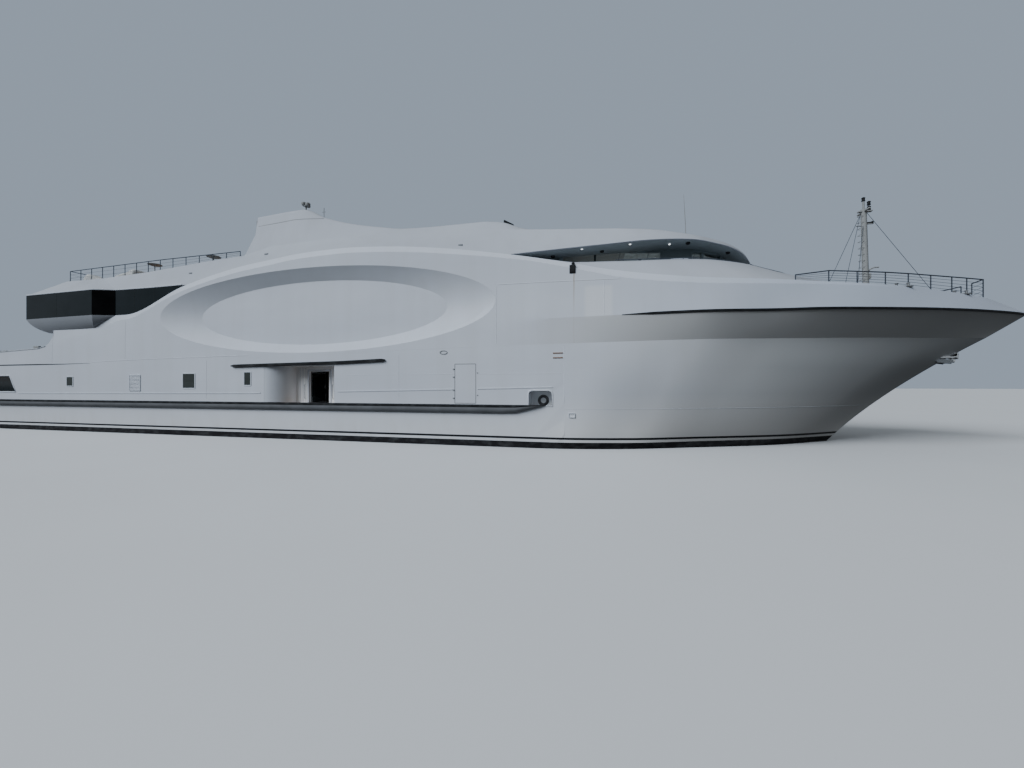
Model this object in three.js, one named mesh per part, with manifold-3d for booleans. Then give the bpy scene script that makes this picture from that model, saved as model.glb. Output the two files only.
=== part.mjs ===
// Superyacht afloat, modelled at half scale: a steel hull with a raked clipper bow, sculpted
// topsides, a visored wheelhouse, a finned sky deck and an overhanging glazed aft lounge.
// Sizes are written in metres of the full-size ship. +X is the bow, +Y port, +Z up, and the origin
// lies on the centreline at the waterline, at the aft end of the swim platform.
import * as THREE from 'three';
import { mergeVertices } from 'three/addons/utils/BufferGeometryUtils.js';
import Module from 'manifold-3d';

const wasm = await Module();
wasm.setup();

// Scale and fits
const MM_PER_SHIP_METRE = 500;          // a 1:2 model
const GAP = 0.3 / MM_PER_SHIP_METRE;    // seam between pieces that rest on each other
const RUN_GAP = 0.012;                  // clearance round the moving pieces

// Heights above the waterline
const BOOT_TOP = 0.30;
const MAIN_DECK = 1.85;
const COCKPIT_CEILING = 4.05;
const TERRACE = 4.4;
const SALOON_FLOOR = 7.5;
const BAND_TOP = 9.1;
const SUN_DECK = 10.0;
const SKY_DECK = 11.6;
const FOREDECK = 6.6;
const BRIDGE_FLOOR = 7.9;
const BRIDGE_SILL = 8.7;
const BRIDGE_CEILING = 10.1;

// Places along the ship
const SWIM_EDGE = 0;
const TERRACE_AFT = 4.6;
const SALOON_AFT = 13.5;
const BOARDING = { aft: 30.6, fore: 36.0 };
const MOORING = { aft: 45.5, fore: 47.75 };
const FIN_AFT = 28.2;
const VISOR_AFT = 45.1;
const WELL_AFT = 60.6;
const BULWARK = 0.25;                   // thickness of a bulwark
const HULL_SIDE = 6.1;                  // half the beam

// Lines of the ship, each a table of [x, half breadth, height]
const KEEL = [[0, 0, -0.12], [4, 0, -0.45], [9, 0, -1.2], [15, 0, -2.0], [50, 0, -2.05],
  [55, 0, -1.9], [58, 0, -1.55], [60, 0, -0.95]];
const BILGE = [[0, 4.7, -0.1], [4, 4.8, -0.35], [9, 4.9, -1.0], [15, 4.95, -1.75], [46, 4.75, -1.8],
  [50, 4.1, -1.75], [54, 2.75, -1.6], [57, 1.45, -1.3], [60.7, 0, -0.55]];
const TURN = [[0, 5.6, 0.05], [9, 5.85, -0.45], [15, 5.9, -1.0], [45, 5.8, -1.05], [49, 5.3, -0.9],
  [53, 4.05, -0.75], [57, 2.4, -0.6], [61.2, 0, -0.02]];
const WATERLINE = [[0, 5.85, BOOT_TOP], [5, 6.1, BOOT_TOP], [47, 6.1, BOOT_TOP], [50.5, 5.5, BOOT_TOP],
  [54.1, 4.0, BOOT_TOP], [58.1, 2.2, BOOT_TOP], [61.5, 0, BOOT_TOP]];
const TOPSIDE = [[0, 5.95, 2.3], [5, 6.1, 2.3], [48.5, 6.1, 2.35], [52, 5.5, 2.4], [55, 4.6, 2.42],
  [58, 3.5, 2.45], [61, 2.0, 2.48], [63.9, 0, 2.5]];
const LOWER_KNUCKLE = [[0, 6.0, TERRACE], [5, 6.1, TERRACE], [14.2, 6.1, TERRACE], [16, 6.1, 4.42],
  [25, 6.1, 4.53], [44.6, 6.1, 4.9], [50.35, 6.1, 4.98], [53.7, 5.68, 5.05], [57.3, 4.47, 5.13],
  [59.3, 3.76, 5.17], [62, 2.65, 5.23],
  [65.3, 1.2, 5.29], [68.1, 0, 5.36]];
const UPPER_KNUCKLE = [[13, 6.08, 5.9], [30, 6.1, 6.0], [44.4, 6.1, 6.1], [50.35, 6.1, 6.16],
  [53.6, 5.95, 6.22], [57, 5.2, 6.28], [58.8, 4.84, 6.33], [61.6, 3.92, 6.38], [64.7, 2.7, 6.43],
  [67, 1.6, 6.45], [68.8, 0.62, 6.45], [69.7, 0, 6.45]];
const SHOULDER = [[13, 5.95, SALOON_FLOOR], [19.8, 5.92, SALOON_FLOOR], [24.6, 5.85, 9.1],
  [28.9, 5.8, 10.0], [30.7, 5.8, 10.2], [33.3, 5.8, 10.45], [35.7, 5.8, 10.5], [37.9, 5.8, 10.4],
  [40.9, 5.8, 10.1], [45.1, 5.8, 9.41], [48.05, 5.8, 8.78], [49.8, 5.8, 8.36], [52.1, 5.75, 7.98],
  [54.2, 5.5, 7.78], [57.1, 4.9, 7.68], [59.2, 4.3, 7.6], [61.9, 3.5, 7.5], [65, 2.2, 7.32],
  [67, 1.3, 7.15], [68.6, 0.5, 6.8], [69.7, 0, 6.5]];
const ROOF_CREASE = [[28.2, 5.0, 10.95], [30.2, 4.65, 11.5], [35.2, 4.6, 11.6], [37.2, 4.6, 11.55],
  [41.8, 4.6, 11.3], [45.1, 4.6, 11.1], [50, 4.5, 10.75], [52, 4.2, 10.6], [54, 3.6, 10.4],
  [55.4, 2.9, 10.2], [56.4, 2.0, 10.02], [56.95, 1.2, 9.9], [57.15, 0.6, 9.85]];
const ROOF_EDGE = [[28.1, 4.0, 13.75], [31.4, 4.0, 13.9], [33.1, 4.0, 13.2], [34.8, 4.0, 12.7],
  [36.8, 4.0, 12.3], [38.4, 4.0, 12.06], [40.3, 4.0, 12.0], [43.05, 4.0, 12.0], [44.2, 4.0, 11.85],
  [45.1, 4.0, 11.5], [46.15, 4.0, 11.2], [48.6, 4.0, 11.0], [50.4, 4.0, 10.9], [52, 3.8, 10.8],
  [53.4, 3.3, 10.55], [54.8, 2.6, 10.3], [55.8, 1.8, 10.12], [56.4, 1.0, 10.0], [56.6, 0.5, 9.97]];
const VISOR_LIP = [[45.1, 5.8, 9.42], [47.2, 5.6, 9.55], [49.7, 5.3, 9.72], [51.9, 4.9, 9.89],
  [53.9, 4.2, 9.97], [54.8, 3.6, 9.95], [55.7, 3.0, 9.87], [56.4, 2.3, 9.76], [56.9, 1.5, 9.7],
  [57.3, 0.75, 9.66]];
const TRUNK_EDGE = [[47, 5.7, 9.06], [48.2, 5.62, 8.9], [50.5, 5.3, 8.9], [52.5, 4.8, 8.98],
  [54.5, 4.1, 9.04], [56, 3.2, 9.04], [57.3, 2.1, 8.98], [58.1, 1.0, 8.9]];

const SUN_DECK_EDGE = [[13.5, 5.3, 10.2], [16.9, 5.3, 10.2], [20.6, 5.3, 10.34], [23.6, 5.26, 10.56],
  [25.6, 5.18, 10.74], [27, 5.08, 10.86], [28.2, 5.0, 10.95]];
const RECESS = { x: 33.7, outer: [10.7, 2.35, 7.15], inner: [8.0, 1.77, 7.07], depth: 0.45 };

// Finishes of the construction model: colour, roughness, metalness
const PAINT = { white: [0xdfe3e8, 0.35, 0], antifouling: [0x17181a, 0.8, 0], black: [0x101214, 0.6, 0],
  glass: [0x10222a, 0.08, 0.2], steel: [0x9aa0a6, 0.35, 0.9], bronze: [0x9a6b34, 0.4, 0.9],
  grey: [0x8b9094, 0.5, 0.3] };

const ship = new THREE.Group();
ship.scale.setScalar(MM_PER_SHIP_METRE);

function place(name, geometry, paint) {
  const [color, roughness, metalness] = PAINT[paint];
  const mesh = new THREE.Mesh(geometry, new THREE.MeshStandardMaterial({ color, roughness, metalness }));
  geometry.computeVertexNormals();
  mesh.name = name;
  ship.add(mesh);
}

// A value of a line at x, by a cubic through its rows with slopes that never overshoot them
function along(table, x, column) {
  const last = table.length - 1;
  let i = 0;
  while (i < last - 1 && x > table[i + 1][0]) i += 1;
  const rise = (k) => (table[k + 1][column] - table[k][column]) / (table[k + 1][0] - table[k][0]);
  const slope = (k) => {
    if (k === 0) return rise(0);
    if (k === last) return rise(last - 1);
    const before = rise(k - 1);
    const after = rise(k);
    return before * after <= 0 ? 0 : 2 * before * after / (before + after);
  };
  const span = table[i + 1][0] - table[i][0];
  const t = Math.min(Math.max((x - table[i][0]) / span, 0), 1);
  const [p, q] = [table[i][column], table[i + 1][column]];
  return p * (1 + 2 * t) * (1 - t) ** 2 + slope(i) * span * t * (1 - t) ** 2
    + q * t * t * (3 - 2 * t) - slope(i + 1) * span * t * t * (1 - t);
}

// Points of a line from x0 to x1, or to where the line ends at the stem
function run(table, x0, x1, steps, lift = 0) {
  const end = Math.min(x1, table[table.length - 1][0]);
  return Array.from({ length: steps + 1 }, (unused, j) => {
    const x = x0 + (end - x0) * j / steps;
    return [x, along(table, x, 1), along(table, x, 2) + lift];
  });
}

// Points of a line spaced like the given stations, stretched to the line's own end
function stretched(table, xs) {
  const [first, last, end] = [xs[0], xs[xs.length - 1], table[table.length - 1][0]];
  return xs.map((station) => {
    const x = first + (end - first) * (station - first) / (last - first);
    return [x, along(table, x, 1), along(table, x, 2)];
  });
}

// Closed body from faces that share their corners
function body(corners, faces) {
  const geometry = new THREE.BufferGeometry();
  geometry.setAttribute('position', new THREE.Float32BufferAttribute(corners.flat(), 3));
  geometry.setIndex(faces.flat());
  const merged = mergeVertices(geometry, 1e-5);
  const index = merged.index.array;
  const kept = [];
  for (let k = 0; k < index.length; k += 3) {
    const [a, b, c] = [index[k], index[k + 1], index[k + 2]];
    if (a !== b && b !== c && c !== a) kept.push(a, b, c);
  }
  merged.setIndex(kept);
  return merged;
}

// Body through level lines from the lowest up, each a list of [x, half breadth, z] on the
// starboard side, mirrored to port, with a flat floor and lid and an end wall at each end
function strakes(levels) {
  const count = levels[0].length;
  const corners = [];
  for (const side of [-1, 1]) {
    for (const level of levels) for (const [x, half, z] of level) corners.push([x, side * half, z]);
  }
  const at = (side, level, j) => (side * levels.length + level) * count + j;
  const faces = [];
  const quad = (a, b, c, d) => faces.push([a, b, c], [a, c, d]);
  for (let i = 0; i + 1 < levels.length; i += 1) {
    for (let j = 0; j + 1 < count; j += 1) {
      quad(at(0, i, j), at(0, i, j + 1), at(0, i + 1, j + 1), at(0, i + 1, j));
      quad(at(1, i, j), at(1, i + 1, j), at(1, i + 1, j + 1), at(1, i, j + 1));
    }
    quad(at(1, i, 0), at(0, i, 0), at(0, i + 1, 0), at(1, i + 1, 0));
    quad(at(0, i, count - 1), at(1, i, count - 1), at(1, i + 1, count - 1), at(0, i + 1, count - 1));
  }
  const top = levels.length - 1;
  for (let j = 0; j + 1 < count; j += 1) {
    quad(at(0, 0, j + 1), at(0, 0, j), at(1, 0, j), at(1, 0, j + 1));
    quad(at(0, top, j), at(0, top, j + 1), at(1, top, j + 1), at(1, top, j));
  }
  return body(corners, faces);
}

// Solids for joining and cutting
function solid(geometry) {
  const plain = geometry.clone();
  plain.deleteAttribute('normal');
  plain.deleteAttribute('uv');
  const merged = mergeVertices(plain, 1e-5);
  const order = merged.index ? merged.index.array : merged.getAttribute('position').array.map((v, k) => k);
  return new wasm.Manifold(new wasm.Mesh({ numProp: 3,
    vertProperties: new Float32Array(merged.getAttribute('position').array),
    triVerts: new Uint32Array(order) }));
}

function shape(manifold) {
  const mesh = manifold.getMesh();
  const geometry = new THREE.BufferGeometry();
  geometry.setAttribute('position', new THREE.BufferAttribute(mesh.vertProperties, 3));
  geometry.setIndex(new THREE.BufferAttribute(mesh.triVerts, 1));
  return geometry;
}

const join = (...geometries) => shape(geometries.map(solid).reduce((sum, next) => sum.add(next)));
const cut = (whole, ...tools) => shape(tools.map(solid)
  .reduce((rest, tool) => rest.subtract(tool), solid(whole)));
const common = (a, b) => shape(solid(a).intersect(solid(b)));

function block([x0, x1], [y0, y1], [z0, z1]) {
  return new THREE.BoxGeometry(x1 - x0, y1 - y0, z1 - z0)
    .translate((x0 + x1) / 2, (y0 + y1) / 2, (z0 + z1) / 2);
}

// Prism of an outline of [x, y] points between two heights
function planPrism(outline, z0, z1) {
  const flat = new THREE.Shape(outline.map(([x, y]) => new THREE.Vector2(x, y)));
  return new THREE.ExtrudeGeometry(flat, { depth: z1 - z0, bevelEnabled: false }).translate(0, 0, z0);
}

// Prism of an outline of [x, z] points between two places across the ship
function sidePrism(outline, y0, y1) {
  const flat = new THREE.Shape(outline.map(([x, z]) => new THREE.Vector2(x, z)));
  return new THREE.ExtrudeGeometry(flat, { depth: y1 - y0, bevelEnabled: false })
    .rotateX(Math.PI / 2).translate(0, y1, 0);
}

function rod(from, to, radius, sides = 8, endRadius = radius) {
  const a = new THREE.Vector3(...from);
  const b = new THREE.Vector3(...to);
  const turn = new THREE.Quaternion().setFromUnitVectors(new THREE.Vector3(0, 1, 0),
    b.clone().sub(a).normalize());
  return new THREE.CylinderGeometry(endRadius, radius, a.distanceTo(b), sides)
    .applyQuaternion(turn).translate(...a.add(b).multiplyScalar(0.5).toArray());
}

// The same body on the other side of the ship
function mirrored(geometry) {
  const other = geometry.clone().scale(1, -1, 1);
  const index = other.index.array;
  for (let k = 0; k < index.length; k += 3) [index[k], index[k + 1]] = [index[k + 1], index[k]];
  return other;
}

function placePair(name, starboard, paint) {
  place(`${name}_stbd`, starboard, paint);
  place(`${name}_port`, mirrored(starboard), paint);
}

// Convex outline moved inwards by a distance, or outwards by a negative one
function inset(outline, distance) {
  const area = outline.reduce((sum, [x, y], k) => {
    const [u, v] = outline[(k + 1) % outline.length];
    return sum + x * v - u * y;
  }, 0);
  const side = Math.sign(area) * distance;
  const edges = outline.map(([x, y], k) => {
    const [u, v] = outline[(k + 1) % outline.length];
    const long = Math.hypot(u - x, v - y);
    const [dx, dy] = [(u - x) / long, (v - y) / long];
    return { x: x - dy * side, y: y + dx * side, dx, dy };
  });
  return edges.map((b, k) => {
    const a = edges[(k + edges.length - 1) % edges.length];
    const t = ((b.x - a.x) * b.dy - (b.y - a.y) * b.dx) / (a.dx * b.dy - a.dy * b.dx);
    return [a.x + a.dx * t, a.y + a.dy * t];
  });
}

// Starboard half of an outline, from aft forward, completed with its port half
const bothSides = (half) => [...half, ...half.map(([x, y]) => [x, -y]).reverse()];

// Plan of the wheelhouse wall, and the seat and the well cut for it
const BRIDGE_OUTLINE = bothSides([[47.3, -4.3], [49.1, -4.0], [52.4, -3.2], [54.4, -2.65], [55.5, -1.9],
  [56.1, -1.0]]);
const bridgeFooting = planPrism(inset(BRIDGE_OUTLINE, -GAP), BRIDGE_SILL, 11);
const bridgeWell = planPrism(inset(BRIDGE_OUTLINE, 0.35), BRIDGE_FLOOR, 11);

// Underwater body with the centreline skeg and the bearings of the rudder stocks
function hullBottom() {
  const skeg = sidePrism([[4.5, -0.3], [5.2, -1.9], [12, -2.0], [15, -1.9], [15, -0.3]], -0.12, 0.12);
  const bearings = [-SCREW.y, SCREW.y].map((y) => rod([RUDDER.x, y, RUDDER.stockTop],
    [RUDDER.x, y, 0], 0.16, 10));
  place('hull_bottom', join(underwater(), skeg, ...bearings), 'antifouling');
}

// Shared stations along the ship: bodies that meet at a line follow the same chords of it
const STEM_HEAD = LOWER_KNUCKLE[LOWER_KNUCKLE.length - 1][0];
const STATIONS = Array.from({ length: 49 }, (unused, j) => STEM_HEAD * j / 48);
const stationsBetween = (x0, x1, extra = []) => [x0,
  ...[...STATIONS, ...extra].filter((x) => x > x0 + 0.01 && x < x1 - 0.01).sort((a, b) => a - b), x1];
function chord(table, x, column) {
  const next = STATIONS.findIndex((station) => station >= x);
  const j = Math.max(next < 0 ? STATIONS.length - 1 : next, 1);
  const [a, b] = [STATIONS[j - 1], STATIONS[j]];
  const [p, q] = [along(table, a, column), along(table, b, column)];
  return p + (q - p) * (x - a) / (b - a);
}
const chords = (table, xs, lift = 0) => xs.map((x) => [x, chord(table, x, 1), chord(table, x, 2) + lift]);

// Half breadth of the upper side plating at a height
function sideHalf(x, z) {
  const [low, mid, high] = [LOWER_KNUCKLE, UPPER_KNUCKLE, SHOULDER].flatMap((line) => chords(line, [x]));
  const [a, b] = z < mid[2] ? [low, mid] : [mid, high];
  return a[1] + (b[1] - a[1]) * (z - a[2]) / (b[2] - a[2]);
}

// Whole bodies that the sections are cut from, and that what stands on them is seated against
const lifted = (geometry) => geometry.clone().translate(0, 0, GAP);
const underwater = () => strakes([KEEL, BILGE, TURN, WATERLINE].map((line) => run(line, SWIM_EDGE, 99, 26)));
const topsides = strakes([run(WATERLINE, SWIM_EDGE, 99, 48, GAP), run(TOPSIDE, SWIM_EDGE, 99, 48),
  run(LOWER_KNUCKLE, SWIM_EDGE, 99, 48)]);
const upperStations = stationsBetween(SALOON_AFT, WELL_AFT);
const upperShell = strakes([chords(LOWER_KNUCKLE, upperStations, GAP), chords(UPPER_KNUCKLE, upperStations),
  chords(SHOULDER, upperStations)]);
const trunkStations = stationsBetween(47, WELL_AFT);
const trunkFoot = chords(SHOULDER, trunkStations, GAP).map(([x, half, z]) => [x,
  half - 0.45 * Math.max(0, (x - 56) / (WELL_AFT - 56)), z]);
const trunkShell = strakes([trunkFoot, stretched(TRUNK_EDGE, trunkStations)]);
const visorShell = strakes([VISOR_LIP, ROOF_CREASE, ROOF_EDGE].map((line) => run(line, VISOR_AFT, 99, 20)));
const SEAT = 0.06;                      // depth that a small piece starts below its seat, before it is cut

// Side plating from the boot top to the lower knuckle, built as the yard's ring sections
function hullBlocks() {
  const section = (x0, x1) => common(topsides, block([x0, x1 - GAP], [-9, 9], [0, 9]));
  const port = (tool) => mirrored(shape(solid(tool)));

  const sternProfile = [[-1, 0.62], [2.4, 0.62], [3.0, 1.5], [3.3, 2.6], [4.1, 3.6],
    [TERRACE_AFT, 4.2], [TERRACE_AFT, 5], [-1, 5]];
  const cockpit = block([2, 10], [-5.5, 5.5], [MAIN_DECK, COCKPIT_CEILING]);
  const sidePort = sidePrism([[5.2, 2.55], [9.95, 2.55], [9.3, 3.7], [5.2, 3.7]], -7, 7);
  let stern = cut(section(SWIM_EDGE, SALOON_AFT), sidePrism(sternProfile, -7, 7), cockpit, sidePort);
  const treads = 5;
  for (let k = 0; k < treads; k += 1) {
    const top = 0.6 + (MAIN_DECK - 0.6) * (k + 1) / treads;
    const tread = block([1.7 + 0.28 * k, 3.3], [-5.2, -3.7], [0.5, top]);
    stern = join(stern, tread, port(tread));
  }
  place('hull_stern_block', stern, 'white');
  place('hull_aft_block', section(SALOON_AFT, BOARDING.aft), 'white');

  const alcoveWall = 4.9;
  const corner = Array.from({ length: 7 }, (unused, k) => {
    const angle = Math.PI / 2 * k / 6;
    return [31.17 + 0.73 * Math.sin(angle), -HULL_SIDE + 1.2 * (1 - Math.cos(angle))];
  });
  const alcove = planPrism([[31.17, -7], ...corner, [35.35, -alcoveWall], [35.35, -7]], MAIN_DECK, 4.08);
  const doorway = block([DOOR.aft, DOOR.fore], [-5.2, -4.6], [DOOR.sill, DOOR.head]);
  const vestibule = block([32.4, 35.1], [-DOOR.wall, -2.6], [MAIN_DECK, 4.0]);
  place('hull_boarding_block', cut(section(BOARDING.aft, BOARDING.fore), alcove, doorway, vestibule,
    port(alcove), port(doorway), port(vestibule)), 'white');

  const recess = block([SHELL_DOOR.aft, SHELL_DOOR.fore], [-7, -HULL_SIDE + SHELL_DOOR.depth],
    [SHELL_DOOR.sill, SHELL_DOOR.head]);
  place('hull_mid_block', cut(section(BOARDING.fore, MOORING.aft), recess, port(recess)), 'white');

  const pocketOutline = [[46.04, 2.0], [47.2, 2.0], [47.2, 2.58], [47.15, 2.7], [47.03, 2.75],
    [46.21, 2.75], [46.09, 2.7], [46.04, 2.58]];
  const pocket = sidePrism(pocketOutline, -7, -5.2);
  place('hull_mooring_block', cut(section(MOORING.aft, MOORING.fore), pocket, port(pocket)), 'white');
  place('hull_bow_block', section(MOORING.fore, 99), 'white');
}

// Upper plating with the elliptical side recesses, up to the shoulder
function upperTopsides() {
  const count = 40;
  const ring = ([halfLong, halfHigh, middle], out) => Array.from({ length: count }, (unused, k) => {
    const angle = 2 * Math.PI * k / count;
    const [x, z] = [RECESS.x + halfLong * Math.cos(angle), middle + halfHigh * Math.sin(angle)];
    return [x, -sideHalf(x, z) - out, z];
  });
  const rim = ring(RECESS.outer.map((size, k) => (k < 2 ? size * 1.02 : size)), 0.05);
  const rings = [rim.map(([x, y, z]) => [x, -7, z]), rim, ring(RECESS.inner, -RECESS.depth)];
  const centres = [[RECESS.x, -7, rim[0][2]],
    [RECESS.x, RECESS.depth - sideHalf(RECESS.x, RECESS.inner[2]), RECESS.inner[2]]];
  const faces = [];
  for (let k = 0; k < count; k += 1) {
    const next = (k + 1) % count;
    for (const r of [0, count]) {
      faces.push([r + k, r + count + next, r + next], [r + k, r + count + k, r + count + next]);
    }
    faces.push([3 * count, k, next], [3 * count + 1, 2 * count + next, 2 * count + k]);
  }
  const cutter = body([...rings.flat(), ...centres], faces);
  const lobby = block([SALOON_AFT - 1, 15.6], [-1.25, 1.25], [TERRACE + 0.05, 6.35]);
  place('upper_topsides', cut(upperShell, cutter, mirrored(cutter), lobby,
    bridgeFooting, bridgeWell), 'white');
}

// Bow above the lower knuckle with the foredeck well inside its bulwark
function bowTopsides() {
  const stations = stationsBetween(WELL_AFT + GAP, STEM_HEAD);
  const shell = strakes([chords(LOWER_KNUCKLE, stations, GAP), stretched(UPPER_KNUCKLE, stations),
    stretched(SHOULDER, stations)]);
  const half = run(SHOULDER, WELL_AFT - 0.4, 67.4, 9).map(([x, halfBreadth]) => [x, BULWARK - halfBreadth]);
  place('bow_topsides', cut(shell, planPrism(bothSides(half), FOREDECK, 9)), 'white');
  return shell;
}

// Bulwark round the upper terrace, swept up to the lounge
function aftBulwark() {
  const foot = TERRACE + GAP;
  const end = SALOON_AFT - GAP;
  const outline = [[TERRACE_AFT, foot], [end, foot], [end, 6.4], [13.4, 6.2], [13.15, 5.9],
    [12.75, 5.64], [12.0, 5.5], [8.3, 5.36], [TERRACE_AFT, 5.3]];
  const wall = sidePrism(outline, -6.05, -6.05 + BULWARK);
  const across = block([TERRACE_AFT, TERRACE_AFT + BULWARK], [-6, 6], [foot, 5.3]);
  place('aft_bulwark', join(wall, mirrored(shape(solid(wall))), across), 'white');
}

// Overhanging aft lounge: soffit, glass band and the sun deck above it
const LOUNGE = { aft: [11.2, 6.2], knuckle: [17.3, 6.4], facet: [19.0, 5.92] };
function aftLounge() {
  const foot = SALOON_FLOOR - GAP;
  const rim = [[...LOUNGE.aft, foot], [...LOUNGE.knuckle, foot], [...LOUNGE.facet, foot]];
  const neck = [[12.9, 5.9, 6.55], [17.2, 6.12, 6.75], [18.7, 5.95, 7.3]];
  const bowl = cut(strakes([neck, rim]), block([SALOON_AFT - GAP, 30], [-6.12, 6.12], [0, 9]),
    block([0, SALOON_AFT], [-6.12, 6.12], [0, 6.42]));
  place('lounge_soffit', bowl, 'white');

  const outline = bothSides([LOUNGE.aft, LOUNGE.knuckle, LOUNGE.facet, [24.6, 5.86]]
    .map(([x, y]) => [x, -y]));
  const floor = SALOON_FLOOR + GAP;
  const slope = chords(SHOULDER, stationsBetween(19.7, 24.7), GAP).map(([x, half, z]) => [x, z]);
  const under = [...slope, [24.7, 5], [19.7, 5]];
  const inside = block([11.45, 19.4], [-5.6, 5.6], [5, 10]);
  const band = planPrism(outline, floor, BAND_TOP - GAP);
  place('lounge_glass', cut(band, sidePrism(under, -7, 7), inside), 'glass');

  const forward = stationsBetween(24.75, FIN_AFT - GAP);
  const low = [[...LOUNGE.aft, BAND_TOP], [...LOUNGE.knuckle, BAND_TOP], [...LOUNGE.facet, BAND_TOP],
    [21.8, 5.88, BAND_TOP], ...chords(SHOULDER, forward, GAP)];
  const edge = [13.5, 16.2, 16.9, 20.6, ...forward].map((x) => [x, along(SUN_DECK_EDGE, x, 1),
    along(SUN_DECK_EDGE, x, 2)]);
  const wellOutline = [[13.8, -5.0], [24, -5.0], [29, -4.7], [29, 4.7], [24, 5.0], [13.8, 5.0]];
  const shell = strakes([low, edge]);
  place('sun_deck_block', cut(shell, planPrism(wellOutline, SUN_DECK, 12)), 'white');
  return shell;
}

// Deckhouse between the sun deck and the visor, with side fins, an arch and the sky deck
function deckhouse() {
  const stations = stationsBetween(FIN_AFT, VISOR_AFT - GAP, [31.6, 33.2]);
  const crease = stations.map((x) => [x, along(ROOF_CREASE, x, 1), along(ROOF_CREASE, x, 2)]);
  const edge = stations.map((x) => [x === FIN_AFT ? x - 0.1 : x,
    along(ROOF_EDGE, x, 1), along(ROOF_EDGE, x, 2)]);
  const waist = crease.map(([x, half, z], j) => {
    const hollow = x === FIN_AFT ? 0.3 : 0;
    const mix = (a, b) => a + (b - a) * 0.65;
    return [x + hollow, mix(half, edge[j][1]), mix(z, edge[j][2])];
  });
  const shell = strakes([chords(SHOULDER, stations, GAP), crease, waist, edge]);
  const underArch = block([27, 43.9], [-3.4, 3.4], [SKY_DECK, 13.05]);
  const openSky = block([31.2, 43.9], [-3.4, 3.4], [13, 15]);
  place('deckhouse', cut(shell, underArch, openSky), 'white');
  return shell;
}

// Wheelhouse: coachroof trunk, windowed wall, glazing and the visored roof over it
function wheelhouse() {
  const wallThickness = 0.12;
  const outline = BRIDGE_OUTLINE;
  const glassOuter = inset(outline, wallThickness + GAP);
  const glassInner = inset(outline, wallThickness + 0.05);

  place('trunk', cut(trunkShell, bridgeFooting, bridgeWell), 'white');

  const windows = [];
  const openings = [[0, 0.1, 0.97], [1, 0.03, 0.97], [3, 0.1, 0.93], [4, 0.1, 0.92], [5, 0.06, 0.94],
    [6, 0.08, 0.9], [7, 0.07, 0.9], [9, 0.03, 0.97], [10, 0.03, 0.9]];
  for (const [wall, from, to] of openings) {
    const [a, b] = [outline[wall], outline[(wall + 1) % outline.length]];
    const length = Math.hypot(b[0] - a[0], b[1] - a[1]);
    windows.push(block([length * from, length * to], [-0.3, 0.3], [9.12, 9.78])
      .rotateZ(Math.atan2(b[1] - a[1], b[0] - a[0])).translate(a[0], a[1], 0));
  }
  const ring = cut(planPrism(outline, BRIDGE_SILL + GAP, BRIDGE_CEILING - GAP),
    planPrism(inset(outline, wallThickness), 8, 11));
  place('wheelhouse_wall', cut(ring, ...windows), 'grey');
  place('wheelhouse_glass', cut(planPrism(glassOuter, BRIDGE_SILL + GAP, 9.9),
    planPrism(glassInner, 8, 11)), 'glass');

  place('visor', cut(visorShell, planPrism(inset(outline, -GAP), 8, BRIDGE_CEILING)), 'white');
}

// Rub strakes along the hull and black rub rails over the boarding alcoves
function strakeRails() {
  const reach = 0.24;
  const stations = [[3.0, 0], [3.6, 1], [45.4, 1], [46.9, 0]];
  const side = HULL_SIDE + GAP;
  const section = (x, full) => [[x, -side, 2.05], [x, -side - reach * full - 0.02, 2.03],
    [x, -side - reach * full - 0.02, 1.92], [x, -side - 0.6 * reach * full - 0.01, 1.75],
    [x, -side, 1.62]];
  const corners = stations.flatMap(([x, full]) => section(x, full));
  const size = 5;
  const faces = [];
  for (let j = 0; j + 1 < stations.length; j += 1) {
    for (let i = 0; i < size; i += 1) {
      const [a, b] = [j * size + i, j * size + (i + 1) % size];
      faces.push([a, b, b + size], [a, b + size, a + size]);
    }
  }
  const last = (stations.length - 1) * size;
  for (let i = 1; i + 1 < size; i += 1) faces.push([0, i + 1, i], [last, last + i, last + i + 1]);
  placePair('rub_strake', body(corners, faces), 'black');
  const rail = block([28.6, 38.2], [-side - 0.12, -side], [4.19, 4.35]);
  placePair('gangway_rub_rail', shape(solid(rail)), 'black');
}

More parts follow.
